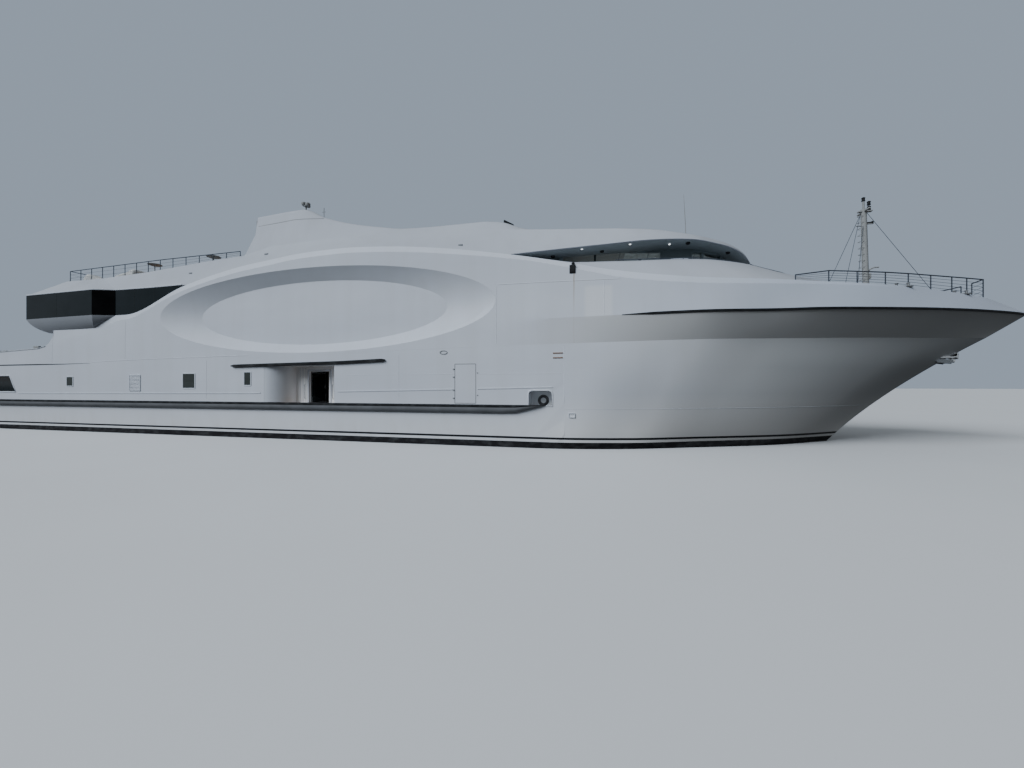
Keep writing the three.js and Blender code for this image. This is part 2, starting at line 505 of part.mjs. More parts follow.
// Hinged doors in the hull side, sliding doors of the terrace, and the foredeck hatch
const DOOR = { aft: 32.73, fore: 34.07, sill: MAIN_DECK + 0.06, head: 3.81, wall: 4.75, leaf: 0.06 };
const SHELL_DOOR = { aft: 42.3, fore: 43.4, sill: 2.1, head: 4.05, depth: 0.1 };
const HATCH = { x: 64.9, side: 0.9, coaming: 0.14 };
function doors() {
  const hinge = [DOOR.aft - 0.05, -DOOR.wall + RUN_GAP];
  const width = DOOR.fore - DOOR.aft + 0.1;
  const leaf = block([hinge[0] - DOOR.leaf, hinge[0]], [hinge[1], hinge[1] + width],
    [MAIN_DECK + RUN_GAP, DOOR.head + 0.05]);
  const pin = rod([hinge[0] - 0.02, hinge[1] + 0.02, MAIN_DECK + GAP],
    [hinge[0] - 0.02, hinge[1] + 0.02, MAIN_DECK + 0.2], 0.018, 6);
  placePair('boarding_door', join(leaf, pin), 'grey');

  const shell = block([SHELL_DOOR.aft + GAP, SHELL_DOOR.fore - RUN_GAP],
    [-HULL_SIDE, -HULL_SIDE + SHELL_DOOR.depth - RUN_GAP],
    [SHELL_DOOR.sill + RUN_GAP, SHELL_DOOR.head - RUN_GAP]);
  placePair('shell_door', shape(solid(shell)), 'white');

  const slide = block([13.4, 13.46], [-1.3, -RUN_GAP / 2], [TERRACE + GAP, 6.4]);
  placePair('terrace_door', shape(solid(slide)), 'glass');

  const { x, side, coaming } = HATCH;
  place('hatch_coaming', cut(block([x - side / 2, x + side / 2], [-side / 2, side / 2],
    [FOREDECK + GAP, FOREDECK + coaming]), block([x - side / 2 + 0.06, x + side / 2 - 0.06],
    [-side / 2 + 0.06, side / 2 - 0.06], [FOREDECK + 0.03, 8])), 'white');
  const lid = block([x - side / 2 - 0.03, x + side / 2 + 0.03], [-side / 2 - 0.03, side / 2 + 0.03],
    [FOREDECK + coaming + GAP, FOREDECK + coaming + 0.07]);
  place('foredeck_hatch', shape(solid(lid)), 'grey');
}

// Shafts with their brackets, propellers and rudders
const SCREW = { x: 3.3, y: 2.9, z: -1.3, radius: 0.62, hub: 0.14 };
const RUDDER = { x: 1.75, top: -0.42, foot: -1.8, stockTop: -0.32 };
function propulsion() {
  const { x, y, z, radius, hub } = SCREW;
  const shaft = rod([x + 0.3, -y, z], [9.6, -y, -1.0], 0.09, 8);
  const bracket = block([x + 0.4, x + 0.8], [-y - 0.05, -y + 0.05], [z, -0.5]);
  const boss = rod([x + 0.24 + GAP, -y, z], [x + 0.95, -y, z], 0.16, 10);
  const hullNear = underwater().translate(0, 0, -GAP);
  placePair('shaft', cut(join(shaft, bracket, boss), hullNear), 'steel');

  let screw = rod([x - 0.3, -y, z], [x + 0.24, -y, z], hub, 10, hub);
  const blades = 4;
  for (let k = 0; k < blades; k += 1) {
    const blade = new THREE.Shape();
    blade.moveTo(-0.09, 0.08);
    blade.quadraticCurveTo(-0.32, 0.42, -0.1, radius - 0.02);
    blade.quadraticCurveTo(0.03, radius + 0.02, 0.16, radius - 0.1);
    blade.quadraticCurveTo(0.3, 0.35, 0.1, 0.08);
    const plate = new THREE.ExtrudeGeometry(blade, { depth: 0.035, bevelEnabled: false, curveSegments: 4 })
      .translate(0, 0, -0.018).rotateY(0.95).rotateX(2 * Math.PI * k / blades).translate(x, -y, z);
    screw = join(screw, plate);
  }
  placePair('propeller', screw, 'bronze');

  const plan = [[0.35, 0], [0.15, 0.09], [-0.75, 0.02], [-0.75, -0.02], [0.15, -0.09]]
    .map(([forward, out]) => [RUDDER.x + forward, out - y]);
  const stock = rod([RUDDER.x, -y, RUDDER.top - 0.1], [RUDDER.x, -y, RUDDER.stockTop - GAP], 0.08, 8);
  placePair('rudder', join(planPrism(plan, RUDDER.foot, RUDDER.top), stock), 'antifouling');
}

// Foremast with its lights bracket and stays
function foremast() {
  const [x, foot] = [63.07, FOREDECK + GAP];
  const stays = [[66.7, 0, 12.15], [61.1, 1.4, 12.1], [61.8, -1.4, 11.4]];
  const parts = [rod([x, 0, foot], [x, 0, 12.6], 0.19, 10, 0.14),
    rod([x, 0, foot], [x, 0, foot + 0.12], 0.32, 10),
    block([x - 0.55, x + 0.45], [-0.12, 0.12], [12.15, 12.23]),
    block([x - 0.06, x + 0.06], [-0.85, 0.85], [12.15, 12.23]),
    rod([x, 0, 12.5], [x, 0, 12.96], 0.07, 8), block([x, x + 0.42], [-0.05, 0.05], [11.42, 11.48]),
    block([x, x + 0.62], [-0.09, 0.09], [8.16, 8.22]),
    rod([x + 0.32, 0, 12.2], [x + 0.32, 0, 12.8], 0.08, 8),
    ...stays.map(([sx, sy, top]) => rod([sx, sy, foot - 0.1], [x, 0, top], 0.028, 5))];
  place('foremast', cut(join(...parts), block([58, 69], [-3, 3], [FOREDECK - 1, foot])), 'grey');
}

// Round tube through points, its corners mitred
function tube(points, radius, sides) {
  const at = points.map((point) => new THREE.Vector3(...point));
  const corners = at.flatMap((point, k) => {
    const before = at[Math.max(k - 1, 0)];
    const after = at[Math.min(k + 1, at.length - 1)];
    const across = new THREE.Vector3(0, 0, 1).cross(after.clone().sub(before)).normalize();
    return Array.from({ length: sides }, (unused, i) => {
      const angle = 2 * Math.PI * i / sides;
      return point.clone().addScaledVector(across, radius * Math.cos(angle))
        .add(new THREE.Vector3(0, 0, radius * Math.sin(angle))).toArray();
    });
  });
  const faces = [];
  for (let k = 0; k + 1 < at.length; k += 1) {
    for (let i = 0; i < sides; i += 1) {
      const [a, b] = [k * sides + i, k * sides + (i + 1) % sides];
      faces.push([a, b, b + sides], [a, b + sides, a + sides]);
    }
  }
  const last = (at.length - 1) * sides;
  for (let i = 1; i + 1 < sides; i += 1) faces.push([0, i + 1, i], [last, last + i, last + i + 1]);
  return body(corners, faces);
}

// Rails of round posts under a round top rail, seated on the bodies below them
function railing(name, path, height, posts, seats) {
  const [radius, sides, below] = [0.035, 5, 0.3];
  const top = path.map(([x, y]) => [x, y, height(x)]);
  const uprights = posts.map((k) => rod([path[k][0], path[k][1], path[k][2] - below], top[k],
    radius, sides));
  placePair(name, cut(join(tube(top, radius, sides), ...uprights), ...seats.map(lifted)), 'steel');
}

function rails(sunDeckShell, bowShell) {
  const bowPosts = [59.3, 60.65, 62.0, 63.15, 64.2, 65.25, 66.0, 67.0];
  const bow = bowPosts.map((x) => [x, 0.1 - along(SHOULDER, x, 1), along(SHOULDER, x, 2)]);
  railing('bow_rail', [...bow, [67.1, -0.04, 7.15]], () => 8.08, bowPosts.map((unused, k) => k),
    [upperShell, bowShell]);
  const deckPosts = Array.from({ length: 14 }, (unused, k) => 13.65 + 1.08 * k);
  const deck = deckPosts.map((x) => [x, Math.max(0, x - 22) * 0.035 - 5.17, 10.2]);
  const across = [-0.04, -1.72, -3.45].map((y) => [13.65, y, 10.2]);
  railing('sun_deck_rail', [...across, ...deck], (x) => 10.9 + 0.015 * (x - 13.5),
    [1, 2, ...deckPosts.map((unused, k) => k + 3)], [sunDeckShell]);
}

// Deck gear
function deckGear(deckhouseShell) {
  const base = FOREDECK + GAP;
  const bittOf = (x, y) => join(block([x - 0.35, x + 0.35], [y - 0.15, y + 0.15], [base, base + 0.06]),
    rod([x - 0.2, y, base + 0.03], [x - 0.2, y, base + 0.45], 0.09, 8),
    rod([x + 0.2, y, base + 0.03], [x + 0.2, y, base + 0.45], 0.09, 8));
  placePair('bitts', bittOf(64.2, -1.6), 'black');

  place('windlass', join(block([65.6, 66.2], [-0.45, 0.45], [base, base + 0.3]),
    rod([65.9, -0.75, base + 0.42], [65.9, 0.75, base + 0.42], 0.17, 10),
    block([65.75, 66.05], [-0.3, 0.3], [base + 0.2, base + 0.65])), 'grey');

  const roller = block([66.0, 67.0], [-0.22, 0.22], [4.42, 4.6]);
  const stemNear = strakes([run(WATERLINE, SWIM_EDGE, 99, 34, 0), run(TOPSIDE, SWIM_EDGE, 99, 34),
    run(LOWER_KNUCKLE, SWIM_EDGE, 99, 34)]).translate(2 * GAP, 0, 0);
  const shank = block([66.3, 67.25], [-0.07, 0.07], [4.2, 4.44]);
  const crown = block([66.95, 67.42], [-0.38, 0.38], [4.05, 4.26]);
  const fluke = (y) => sidePrism([[67.42, 4.05], [67.42, 4.62], [67.3, 4.4], [67.1, 4.26], [67.1, 4.05]],
    y - 0.06, y + 0.06);
  place('anchor', cut(join(roller, shank, crown, fluke(-0.3), fluke(0.3)), stemNear), 'black');

  const ring = new THREE.TorusGeometry(0.2, 0.07, 6, 16).rotateX(Math.PI / 2)
    .translate(46.75, -5.98, 2.0 + 0.27 + GAP);
  placePair('fairlead', shape(solid(ring)), 'black');

  const dome = (y) => join(rod([35.6, y, SKY_DECK + GAP], [35.6, y, SKY_DECK + 0.5], 0.3, 10),
    new THREE.SphereGeometry(0.72, 14, 9).rotateX(Math.PI / 2).translate(35.6, y, SKY_DECK + 1.1));
  placePair('satellite_dome', dome(-1.7), 'white');
  const mastTop = 13.0;
  place('radar_pedestal', join(rod([39, 0, SKY_DECK + GAP], [39, 0, mastTop - 0.3], 0.3, 10, 0.2),
    rod([39, 0, mastTop - 0.32], [39, 0, mastTop], 0.24, 12)), 'white');
  place('radar_scanner', join(rod([39, 0, mastTop + GAP], [39, 0, mastTop + 0.1], 0.09, 10),
    block([37.9, 40.1], [-0.11, 0.11], [mastTop + 0.08, mastTop + 0.28])), 'white');

  const lightY = -4.0 + 0.25;
  place('fin_light', cut(join(rod([31.5, lightY, 13.7], [31.5, lightY, 14.2], 0.06, 6),
    block([31.3, 31.8], [lightY - 0.2, lightY + 0.2], [14.05, 14.4])), lifted(deckhouseShell)), 'black');
  const whip = rod([53.7, -1.2, along(ROOF_EDGE, 53.7, 2) - SEAT], [53.62, -1.2, 13.2], 0.035, 6, 0.012);
  place('whip_antenna', cut(whip, lifted(visorShell)), 'black');
  const lamp = block([47.85, 48.2], [-6.16, -5.7], [8.15, 8.55]);
  placePair('side_light', cut(lamp, upperShell.clone().scale(1, 1 + GAP / 5.8, 1)), 'black');
}

hullBottom();
hullBlocks();
upperTopsides();
const bowShell = bowTopsides();
aftBulwark();
const sunDeckShell = aftLounge();
const deckhouseShell = deckhouse();
wheelhouse();
strakeRails();
doors();
propulsion();
foremast();
rails(sunDeckShell, bowShell);
deckGear(deckhouseShell);

export default ship;
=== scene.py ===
# Superyacht afloat at half scale: smooth plating, glazing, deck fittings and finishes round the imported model.
# Ship sizes below are in metres of the full-size ship; makePiece takes them to the half-scale frame.
import math

import bmesh
import bpy
import numpy as np
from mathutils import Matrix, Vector


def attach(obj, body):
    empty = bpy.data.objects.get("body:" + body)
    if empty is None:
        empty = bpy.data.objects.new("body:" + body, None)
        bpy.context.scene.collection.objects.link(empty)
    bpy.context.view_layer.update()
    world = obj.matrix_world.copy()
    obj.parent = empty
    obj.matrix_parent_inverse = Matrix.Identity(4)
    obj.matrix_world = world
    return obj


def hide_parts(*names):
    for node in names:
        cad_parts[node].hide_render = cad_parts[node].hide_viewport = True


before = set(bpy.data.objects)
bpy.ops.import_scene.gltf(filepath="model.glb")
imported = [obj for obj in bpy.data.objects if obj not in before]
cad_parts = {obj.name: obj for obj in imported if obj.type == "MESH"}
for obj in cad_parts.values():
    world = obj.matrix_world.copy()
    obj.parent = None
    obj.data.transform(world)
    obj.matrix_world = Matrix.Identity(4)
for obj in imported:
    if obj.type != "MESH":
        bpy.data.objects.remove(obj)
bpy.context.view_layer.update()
shipScale = 0.5

# Lines of the ship: [x, half breadth, height]
keelLine = [[0, 0, -0.12], [4, 0, -0.45], [9, 0, -1.2], [15, 0, -2.0], [50, 0, -2.05],
            [55, 0, -1.9], [58, 0, -1.55], [60, 0, -0.95]]
bilgeLine = [[0, 4.7, -0.1], [4, 4.8, -0.35], [9, 4.9, -1.0], [15, 4.95, -1.75], [46, 4.75, -1.8],
             [50, 4.1, -1.75], [54, 2.75, -1.6], [57, 1.45, -1.3], [60.7, 0, -0.55]]
turnLine = [[0, 5.6, 0.05], [9, 5.85, -0.45], [15, 5.9, -1.0], [45, 5.8, -1.05], [49, 5.3, -0.9],
            [53, 4.05, -0.75], [57, 2.4, -0.6], [61.2, 0, -0.02]]
waterLine = [[0, 5.85, 0.3], [5, 6.1, 0.3], [47, 6.1, 0.3], [50.5, 5.5, 0.3],
             [54.1, 4.0, 0.3], [58.1, 2.2, 0.3], [61.5, 0, 0.3]]
topsideLine = [[0, 5.95, 2.3], [5, 6.1, 2.3], [48.5, 6.1, 2.35], [52, 5.5, 2.4], [55, 4.6, 2.42],
               [58, 3.5, 2.45], [61, 2.0, 2.48], [63.9, 0, 2.5]]
lowerKnuckle = [[0, 6.0, 4.4], [5, 6.1, 4.4], [14.2, 6.1, 4.4], [16, 6.1, 4.42], [25, 6.1, 4.53],
                [44.6, 6.1, 4.9], [47.75, 6.1, 4.94], [50.35, 5.95, 4.98], [53.7, 5.48, 5.05],
                [57.3, 4.32, 5.13], [59.3, 3.64, 5.17], [62, 2.6, 5.23], [65.3, 1.2, 5.29], [68.1, 0, 5.36]]
upperKnuckle = [[13, 6.08, 5.9], [30, 6.1, 6.0], [42, 6.1, 6.09], [44.4, 6.12, 6.1], [47.2, 6.2, 6.13],
                [50.35, 6.21, 6.16], [53.6, 6.03, 6.22], [57, 5.24, 6.28], [58.8, 4.84, 6.33],
                [61.6, 3.92, 6.38], [64.7, 2.7, 6.43], [67, 1.6, 6.45], [68.8, 0.62, 6.45], [69.7, 0, 6.45]]
shoulderLine = [[13, 5.95, 7.5], [19.8, 5.92, 7.5], [24.6, 5.85, 9.1], [28.9, 5.8, 10.0],
                [30.7, 5.8, 10.2], [33.3, 5.8, 10.45], [35.7, 5.8, 10.5], [37.9, 5.8, 10.4],
                [40.9, 5.8, 10.1], [45.1, 5.8, 9.41], [48.05, 5.8, 8.78], [49.8, 5.8, 8.36],
                [52.1, 5.75, 7.98], [54.2, 5.5, 7.78], [57.1, 4.9, 7.68], [59.2, 4.3, 7.6],
                [61.9, 3.5, 7.5], [65, 2.2, 7.32], [67, 1.3, 7.15], [68.6, 0.5, 6.8], [69.7, 0, 6.5]]
roofCrease = [[28.2, 5.0, 10.95], [30.2, 4.65, 11.5], [35.2, 4.6, 11.6], [37.2, 4.6, 11.55],
              [41.8, 4.6, 11.3], [45.1, 4.6, 11.1], [50, 4.5, 10.75], [52, 4.2, 10.6], [54, 3.6, 10.4],
              [55.4, 2.9, 10.2], [56.4, 2.0, 10.02], [56.95, 1.2, 9.9], [57.15, 0.6, 9.85]]
roofEdge = [[28.1, 4.0, 13.75], [31.4, 4.0, 13.9], [33.1, 4.0, 13.2], [34.8, 4.0, 12.7],
            [36.8, 4.0, 12.3], [38.4, 4.0, 12.06], [40.3, 4.0, 12.0], [43.05, 4.0, 12.0],
            [44.2, 4.0, 11.85], [45.1, 4.0, 11.5], [46.15, 4.0, 11.2], [48.6, 4.0, 11.0],
            [50.4, 4.0, 10.9], [52, 3.8, 10.8], [53.4, 3.3, 10.55], [54.8, 2.6, 10.3],
            [55.8, 1.8, 10.12], [56.4, 1.0, 10.0], [56.6, 0.5, 9.97]]
visorLip = [[45.1, 5.8, 9.42], [47.2, 5.6, 9.55], [49.7, 5.3, 9.72], [51.9, 4.9, 9.89],
            [53.9, 4.2, 9.97], [54.8, 3.6, 9.95], [55.7, 3.0, 9.87], [56.4, 2.3, 9.76],
            [56.9, 1.5, 9.7], [57.3, 0.75, 9.66]]
trunkEdge = [[47, 5.7, 9.06], [48.2, 5.62, 8.9], [50.5, 5.3, 8.9], [52.5, 4.8, 8.98],
             [54.5, 4.1, 9.04], [56, 3.2, 9.04], [57.3, 2.1, 8.98], [58.1, 1.0, 8.9]]
sunDeckEdge = [[13.5, 5.3, 10.2], [16.9, 5.3, 10.2], [20.6, 5.3, 10.34], [23.6, 5.26, 10.56],
               [25.6, 5.18, 10.74], [27, 5.08, 10.86], [28.2, 5.0, 10.95]]

deck = {"main": 1.85, "terrace": 4.4, "saloon": 7.5, "band": 9.1, "sun": 10.0,
        "sky": 11.6, "fore": 6.6, "bridge": 7.9, "sill": 8.7, "ceiling": 9.95}
seam = 0.0006                                # gap between pieces that rest on each other
halfBeam = 6.1


# Mesh tools: a shape is a pair of points and faces, in ship metres
# Value of a line at each x: a cubic between its rows, with slopes that never overshoot them
def lineAt(table, x):
    rows = np.array(table, float)
    x = np.clip(np.atleast_1d(np.asarray(x, float)), rows[0, 0], rows[-1, 0])
    spans = np.diff(rows[:, 0])
    rises = np.diff(rows[:, 1:], axis=0) / spans[:, None]
    product = rises[:-1] * rises[1:]
    total = np.where(rises[:-1] + rises[1:] == 0, 1, rises[:-1] + rises[1:])
    slopes = np.vstack([rises[:1], np.where(product > 0, 2 * product / total, 0), rises[-1:]])
    i = np.clip(np.searchsorted(rows[:, 0], x, side="right") - 1, 0, len(rows) - 2)
    t = ((x - rows[i, 0]) / spans[i])[:, None]
    span = spans[i][:, None]
    return (rows[i, 1:] * (1 + 2 * t) * (1 - t) ** 2 + slopes[i] * span * t * (1 - t) ** 2
            + rows[i + 1, 1:] * t * t * (3 - 2 * t) - slopes[i + 1] * span * t * t * (1 - t))


# Points of a line on the starboard side at each x
def starboard(table, x, lift=0.0):
    x = np.atleast_1d(np.asarray(x, float))
    value = lineAt(table, x)
    return np.column_stack([x, -value[:, 0], value[:, 1] + lift])


# Points of a line from x0 to its own end, at shares t of the way
def stretched(table, x0, t):
    return starboard(table, x0 + (table[-1][0] - x0) * np.asarray(t))


def unit(rows):
    return rows / np.linalg.norm(rows, axis=-1, keepdims=True)


def turnOf(count):
    return np.linspace(0, 2 * np.pi, count, endpoint=False)


# Circle of points round a centre, in the plane named by two axes
def ringAt(centre, radius, count, plane="xz"):
    ring = np.tile(np.asarray(centre, float), (count, 1))
    ring[:, "xyz".index(plane[0])] += radius * np.cos(turnOf(count))
    ring[:, "xyz".index(plane[1])] += radius * np.sin(turnOf(count))
    return ring


# Quads of a grid of points shaped (rows, columns, 3), numbered row by row
def gridShape(grid, closedRows=False, closedCols=False):
    grid = np.asarray(grid, float)
    rows, cols = grid.shape[:2]
    i, j = np.meshgrid(np.arange(rows if closedRows else rows - 1),
                       np.arange(cols if closedCols else cols - 1), indexing="ij")
    nextI, nextJ = (i + 1) % rows, (j + 1) % cols
    faces = np.stack([i * cols + j, nextI * cols + j, nextI * cols + nextJ, i * cols + nextJ], -1)
    return grid.reshape(-1, 3), faces.reshape(-1, 4)


def joined(*shapes):
    starts = np.cumsum([0] + [len(points) for points, faces in shapes[:-1]])
    return (np.vstack([points for points, faces in shapes]),
            np.vstack([faces + start for (points, faces), start in zip(shapes, starts)]))


def mirrored(shape):
    points, faces = shape
    return points * [1, -1, 1], faces[:, [1, 0, 3, 2]]


def bothSides(shape):
    return joined(shape, mirrored(shape))


# Cap over a closed ring: triangles from each side to the ring's middle
def capShape(ring):
    k, last = np.arange(len(ring)), np.full(len(ring), len(ring))
    return np.vstack([ring, ring.mean(0)]), np.column_stack([k, (k + 1) % len(ring), last, last])


# Body through a stack of closed rings, capped at both ends unless the stack runs round in a loop
def ringBody(rings, loop=False):
    body = gridShape(rings, closedRows=loop, closedCols=True)
    return body if loop else joined(body, capShape(rings[0]), capShape(rings[-1]))


# Tube of a radius along a path: circles square to the path
def tubeShape(path, radius, sides=8, loop=False):
    path = np.asarray(path, float)
    ahead = unit(np.roll(path, -1, 0) - np.roll(path, 1, 0) if loop else np.gradient(path, axis=0))
    across = unit(np.cross(ahead, np.eye(3)[int(np.argmin(np.abs(ahead).mean(0)))]))
    up = np.cross(across, ahead)
    turn = turnOf(sides)[:, None]
    radius = np.broadcast_to(np.asarray(radius, float), (len(path),))[:, None, None]
    circle = across[:, None] * np.cos(turn) + up[:, None] * np.sin(turn)
    return ringBody(path[:, None] + radius * circle, loop)


def rodShape(start, end, radius, sides=10, endRadius=None):
    return tubeShape([start, end], [radius, radius if endRadius is None else endRadius], sides)


# Rods of one radius between pairs of points
def rodSet(ends, radius, sides=10):
    return [rodShape(start, end, radius, sides) for start, end in ends]


# Profile of [radius, height] turned round an upright axis, its ends closed on the axis;
# axis "x" or "y" lays the axis down along that direction
def latheShape(profile, centre, sides=24, axis="z"):
    profile = np.asarray(profile, float)
    turn = turnOf(sides)
    grid = np.stack([profile[:, :1] * np.cos(turn), profile[:, :1] * np.sin(turn),
                     np.repeat(profile[:, 1:], sides, 1)], -1)
    order = {"z": [0, 1, 2], "x": [2, 0, 1], "y": [1, 2, 0]}[axis]
    return ringBody(grid[..., order] + np.asarray(centre, float))


def latheSet(profile, centres, sides=24, axis="z"):
    return [latheShape(profile, centre, sides, axis) for centre in centres]


# Angles round a rounded rectangle: a quarter turn at each corner
def cornerTurns(steps):
    return (np.linspace(0, np.pi / 2, steps + 1)[None] + np.arange(4)[:, None] * np.pi / 2).ravel()


# Block with rounded edges: a smaller box grown by a ball of the edge radius
def blockShape(low, high, radius=0.02, steps=3):
    low, high = np.asarray(low, float), np.asarray(high, float)
    radius = min(radius, 0.49 * float(np.min(high - low)))
    core, middle = (high - low) / 2 - radius, (high + low) / 2
    turn = cornerTurns(steps)
    corner = np.repeat(np.array([[1, 1], [-1, 1], [-1, -1], [1, -1]]), steps + 1, 0)
    tilt = np.concatenate([np.linspace(-np.pi / 2, 0, steps + 1), np.linspace(0, np.pi / 2, steps + 1)])
    side = np.repeat([-1, 1], steps + 1)
    flat = np.stack([np.cos(turn), np.sin(turn)], -1)
    plan = corner[None] * core[:2] + radius * np.cos(tilt)[:, None, None] * flat[None]
    height = np.broadcast_to((side * core[2] + radius * np.sin(tilt))[:, None, None],
                             plan.shape[:2] + (1,))
    points, faces = gridShape(np.concatenate([plan, height], -1) + middle, closedCols=True)
    ends = np.arange(4) * (steps + 1)
    return points, np.vstack([faces, ends, ends[::-1] + (len(tilt) - 1) * len(turn)])


# Blocks of one edge radius between pairs of corners
def blockSet(boxes, radius=0.02):
    return [blockShape(low, high, radius) for low, high in boxes]


# Inward step at each corner of an outline that moves both of its sides in by one
def mitreOf(outline):
    ahead = unit(np.roll(outline, -1, 0) - outline)
    area = np.sum(outline[:, 0] * np.roll(outline[:, 1], -1) - np.roll(outline[:, 0], -1) * outline[:, 1])
    normal = np.column_stack([-ahead[:, 1], ahead[:, 0]]) * np.sign(area)
    mitre = normal + np.roll(normal, 1, 0)
    return mitre / np.maximum(np.sum(mitre * normal, 1), 0.2)[:, None]


def inset(outline, distance):
    outline = np.asarray(outline, float)
    return outline + mitreOf(outline) * distance


# Plan of the whole ship from the starboard half of its outline, closed by the mirror image
def mirroredPlan(half):
    return np.concatenate([half, np.asarray(half)[::-1] * [1, -1]])


# Prism of an outline across the plane named by two axes, with its edges eased
def prismShape(outline, low, high, plane="xy", ease=0.0):
    outline = np.asarray(outline, float)
    levels = [(outline, low + ease), (outline, high - ease)]
    if ease:
        inner = inset(outline, ease)
        levels = [(inner, low), *levels, (inner, high)]
    grid = np.stack([np.column_stack([ring, np.full(len(ring), level)]) for ring, level in levels])
    return ringBody(grid[..., {"xy": [0, 1, 2], "xz": [0, 2, 1], "yz": [2, 0, 1]}[plane]])


# Closed body through level lines of the starboard side, given from the lowest up: the lines are
# joined to their mirror images by a floor, a lid and a wall at each end
def lofted(levels):
    levels = np.asarray(levels, float)
    port = levels * [1, -1, 1]
    side = gridShape(levels)
    lids = [gridShape(np.stack([levels[k], port[k]])) for k in (0, -1)]
    ends = [gridShape(np.stack([levels[:, k], port[:, k]])) for k in (0, -1)]
    return joined(side, mirrored(side), *lids, *ends)


# Rows of points between given level lines, by a smooth curve through them at shares of the way
def curvedLevels(levels, shares, at):
    levels, at = np.asarray(levels, float), np.asarray(at, float)
    weights = np.stack([np.prod([(at - other) / (share - other) for other in shares if other != share], 0)
                        for share in shares], 1)
    return np.einsum("al,lnc->anc", weights, levels)


# Rows of points over level lines, each inner level eased by a curve that starts and ends at its
# radius away from the level (a quadratic curve with the level as its control point)
def easedLevels(levels, radii, steps=6):
    levels = [np.asarray(level, float) for level in levels]
    rows = [levels[0]]
    t = np.linspace(0, 1, steps + 1)[:, None, None]
    for k, radius in enumerate(radii, 1):
        back, ahead = levels[k - 1] - levels[k], levels[k + 1] - levels[k]
        backLong = np.linalg.norm(back, axis=1, keepdims=True) + 1e-9
        aheadLong = np.linalg.norm(ahead, axis=1, keepdims=True) + 1e-9
        if radius == 0:
            rows.append(levels[k])
            continue
        start = levels[k] + back / backLong * np.minimum(radius, 0.48 * backLong)
        end = levels[k] + ahead / aheadLong * np.minimum(radius, 0.48 * aheadLong)
        rows.extend((1 - t) ** 2 * start + 2 * t * (1 - t) * levels[k] + t ** 2 * end)
    rows.append(levels[-1])
    return np.stack(rows)


# A level line moved towards the centreline, by no more than most of its half breadth
def inwards(level, distance, rise=0.0):
    half = -level[:, 1]
    return np.column_stack([level[:, 0], -np.maximum(half - distance, half * 0.3), level[:, 2] + rise])


# Rows of corner points joined by straight runs of equal steps
def cornered(rows, steps):
    rows = np.asarray(rows, float)
    at = np.linspace(0, len(rows) - 1, (len(rows) - 1) * steps + 1)
    return np.column_stack([np.interp(at, np.arange(len(rows)), column) for column in rows.T])


# Band along a path: a low rounded bar, sunk a little into what carries it; outward and across are
# the directions square to the path at each point
def bandShape(path, outward, across, halfWidth, proud, sink=0.02, loop=False):
    path = np.asarray(path, float)
    outward, across = (np.broadcast_to(np.asarray(way, float), path.shape) for way in (outward, across))
    halfWidth = np.broadcast_to(np.asarray(halfWidth, float), (len(path),))[:, None, None]
    section = np.array([[-1, -sink], [-1, proud * 0.45], [-0.72, proud], [0.72, proud], [1, proud * 0.45],
                        [1, -sink]])
    return ringBody(path[:, None] + across[:, None] * halfWidth * section[:, :1]
                    + outward[:, None] * section[:, 1:], loop)


# Level band along a starboard line: outward is square to the line's plan
def sideBand(path, halfHeight, proud, sink=0.02):
    path = np.asarray(path, float)
    ahead = unit(np.gradient(path, axis=0)[:, :2])
    outward = np.column_stack([ahead[:, 1], -ahead[:, 0], np.zeros(len(path))])
    return bandShape(path, outward, [0, 0, 1], halfHeight, proud, sink)


# Straight bars between pairs of points, proud of the starboard side unless other ways are given
def barSet(ends, halfWidth, proud, outward=(0, -1, 0), across=(0, 0, 1), sink=0.02):
    return [bandShape([start, end], outward, across, halfWidth, proud, sink) for start, end in ends]


# Rounded rectangle loop of [x, z] from one corner to the other
def roundedLoop(x0, x1, z0, z1, radius, steps=5):
    turn = cornerTurns(steps)
    centre = np.repeat(np.array([[x1 - radius, z1 - radius], [x0 + radius, z1 - radius],
                                 [x0 + radius, z0 + radius], [x1 - radius, z0 + radius]]), steps + 1, 0)
    return centre + radius * np.column_stack([np.cos(turn), np.sin(turn)])


# Frame round a loop of [x, z] on an upright plane at y
def frameShape(loop, y, halfWidth, proud, sink=0.02):
    ahead = unit(np.roll(loop, -1, 0) - np.roll(loop, 1, 0))
    path = np.insert(loop, 1, y, 1)
    across = np.column_stack([ahead[:, 1], np.zeros(len(loop)), -ahead[:, 0]])
    return bandShape(path, [0, -1, 0], across, halfWidth, proud, sink, True)


def meshOf(name, shape, merge=0.0004):
    points, faces = shape
    mesh = bpy.data.meshes.new(name)
    mesh.from_pydata((points * shipScale).tolist(), [],
                     [face if face[2] != face[3] else face[:3] for face in faces.tolist()])
    work = bmesh.new()
    work.from_mesh(mesh)
    bmesh.ops.remove_doubles(work, verts=work.verts, dist=merge * shipScale)
    bmesh.ops.dissolve_degenerate(work, edges=work.edges, dist=1e-6)
    bmesh.ops.recalc_face_normals(work, faces=work.faces)
    work.to_mesh(mesh)
    work.free()
    return mesh


def objectOf(name, mesh):
    made = bpy.data.objects.new(name, mesh)
    bpy.context.scene.collection.objects.link(made)
    return made


# Boolean cuts applied to the mesh
def cutAway(piece, cutters):
    tools = [objectOf(f"cutter{k}", meshOf(f"cutter{k}", shape)) for k, shape in enumerate(cutters)]
    for tool in tools:
        step = piece.modifiers.new("cut", "BOOLEAN")
        step.operation, step.solver, step.object = "DIFFERENCE", "EXACT", tool
    bpy.context.view_layer.update()
    ready = bpy.data.meshes.new_from_object(piece.evaluated_get(bpy.context.evaluated_depsgraph_get()))
    piece.modifiers.clear()
    piece.data = ready
    for tool in tools:
        bpy.data.objects.remove(tool)


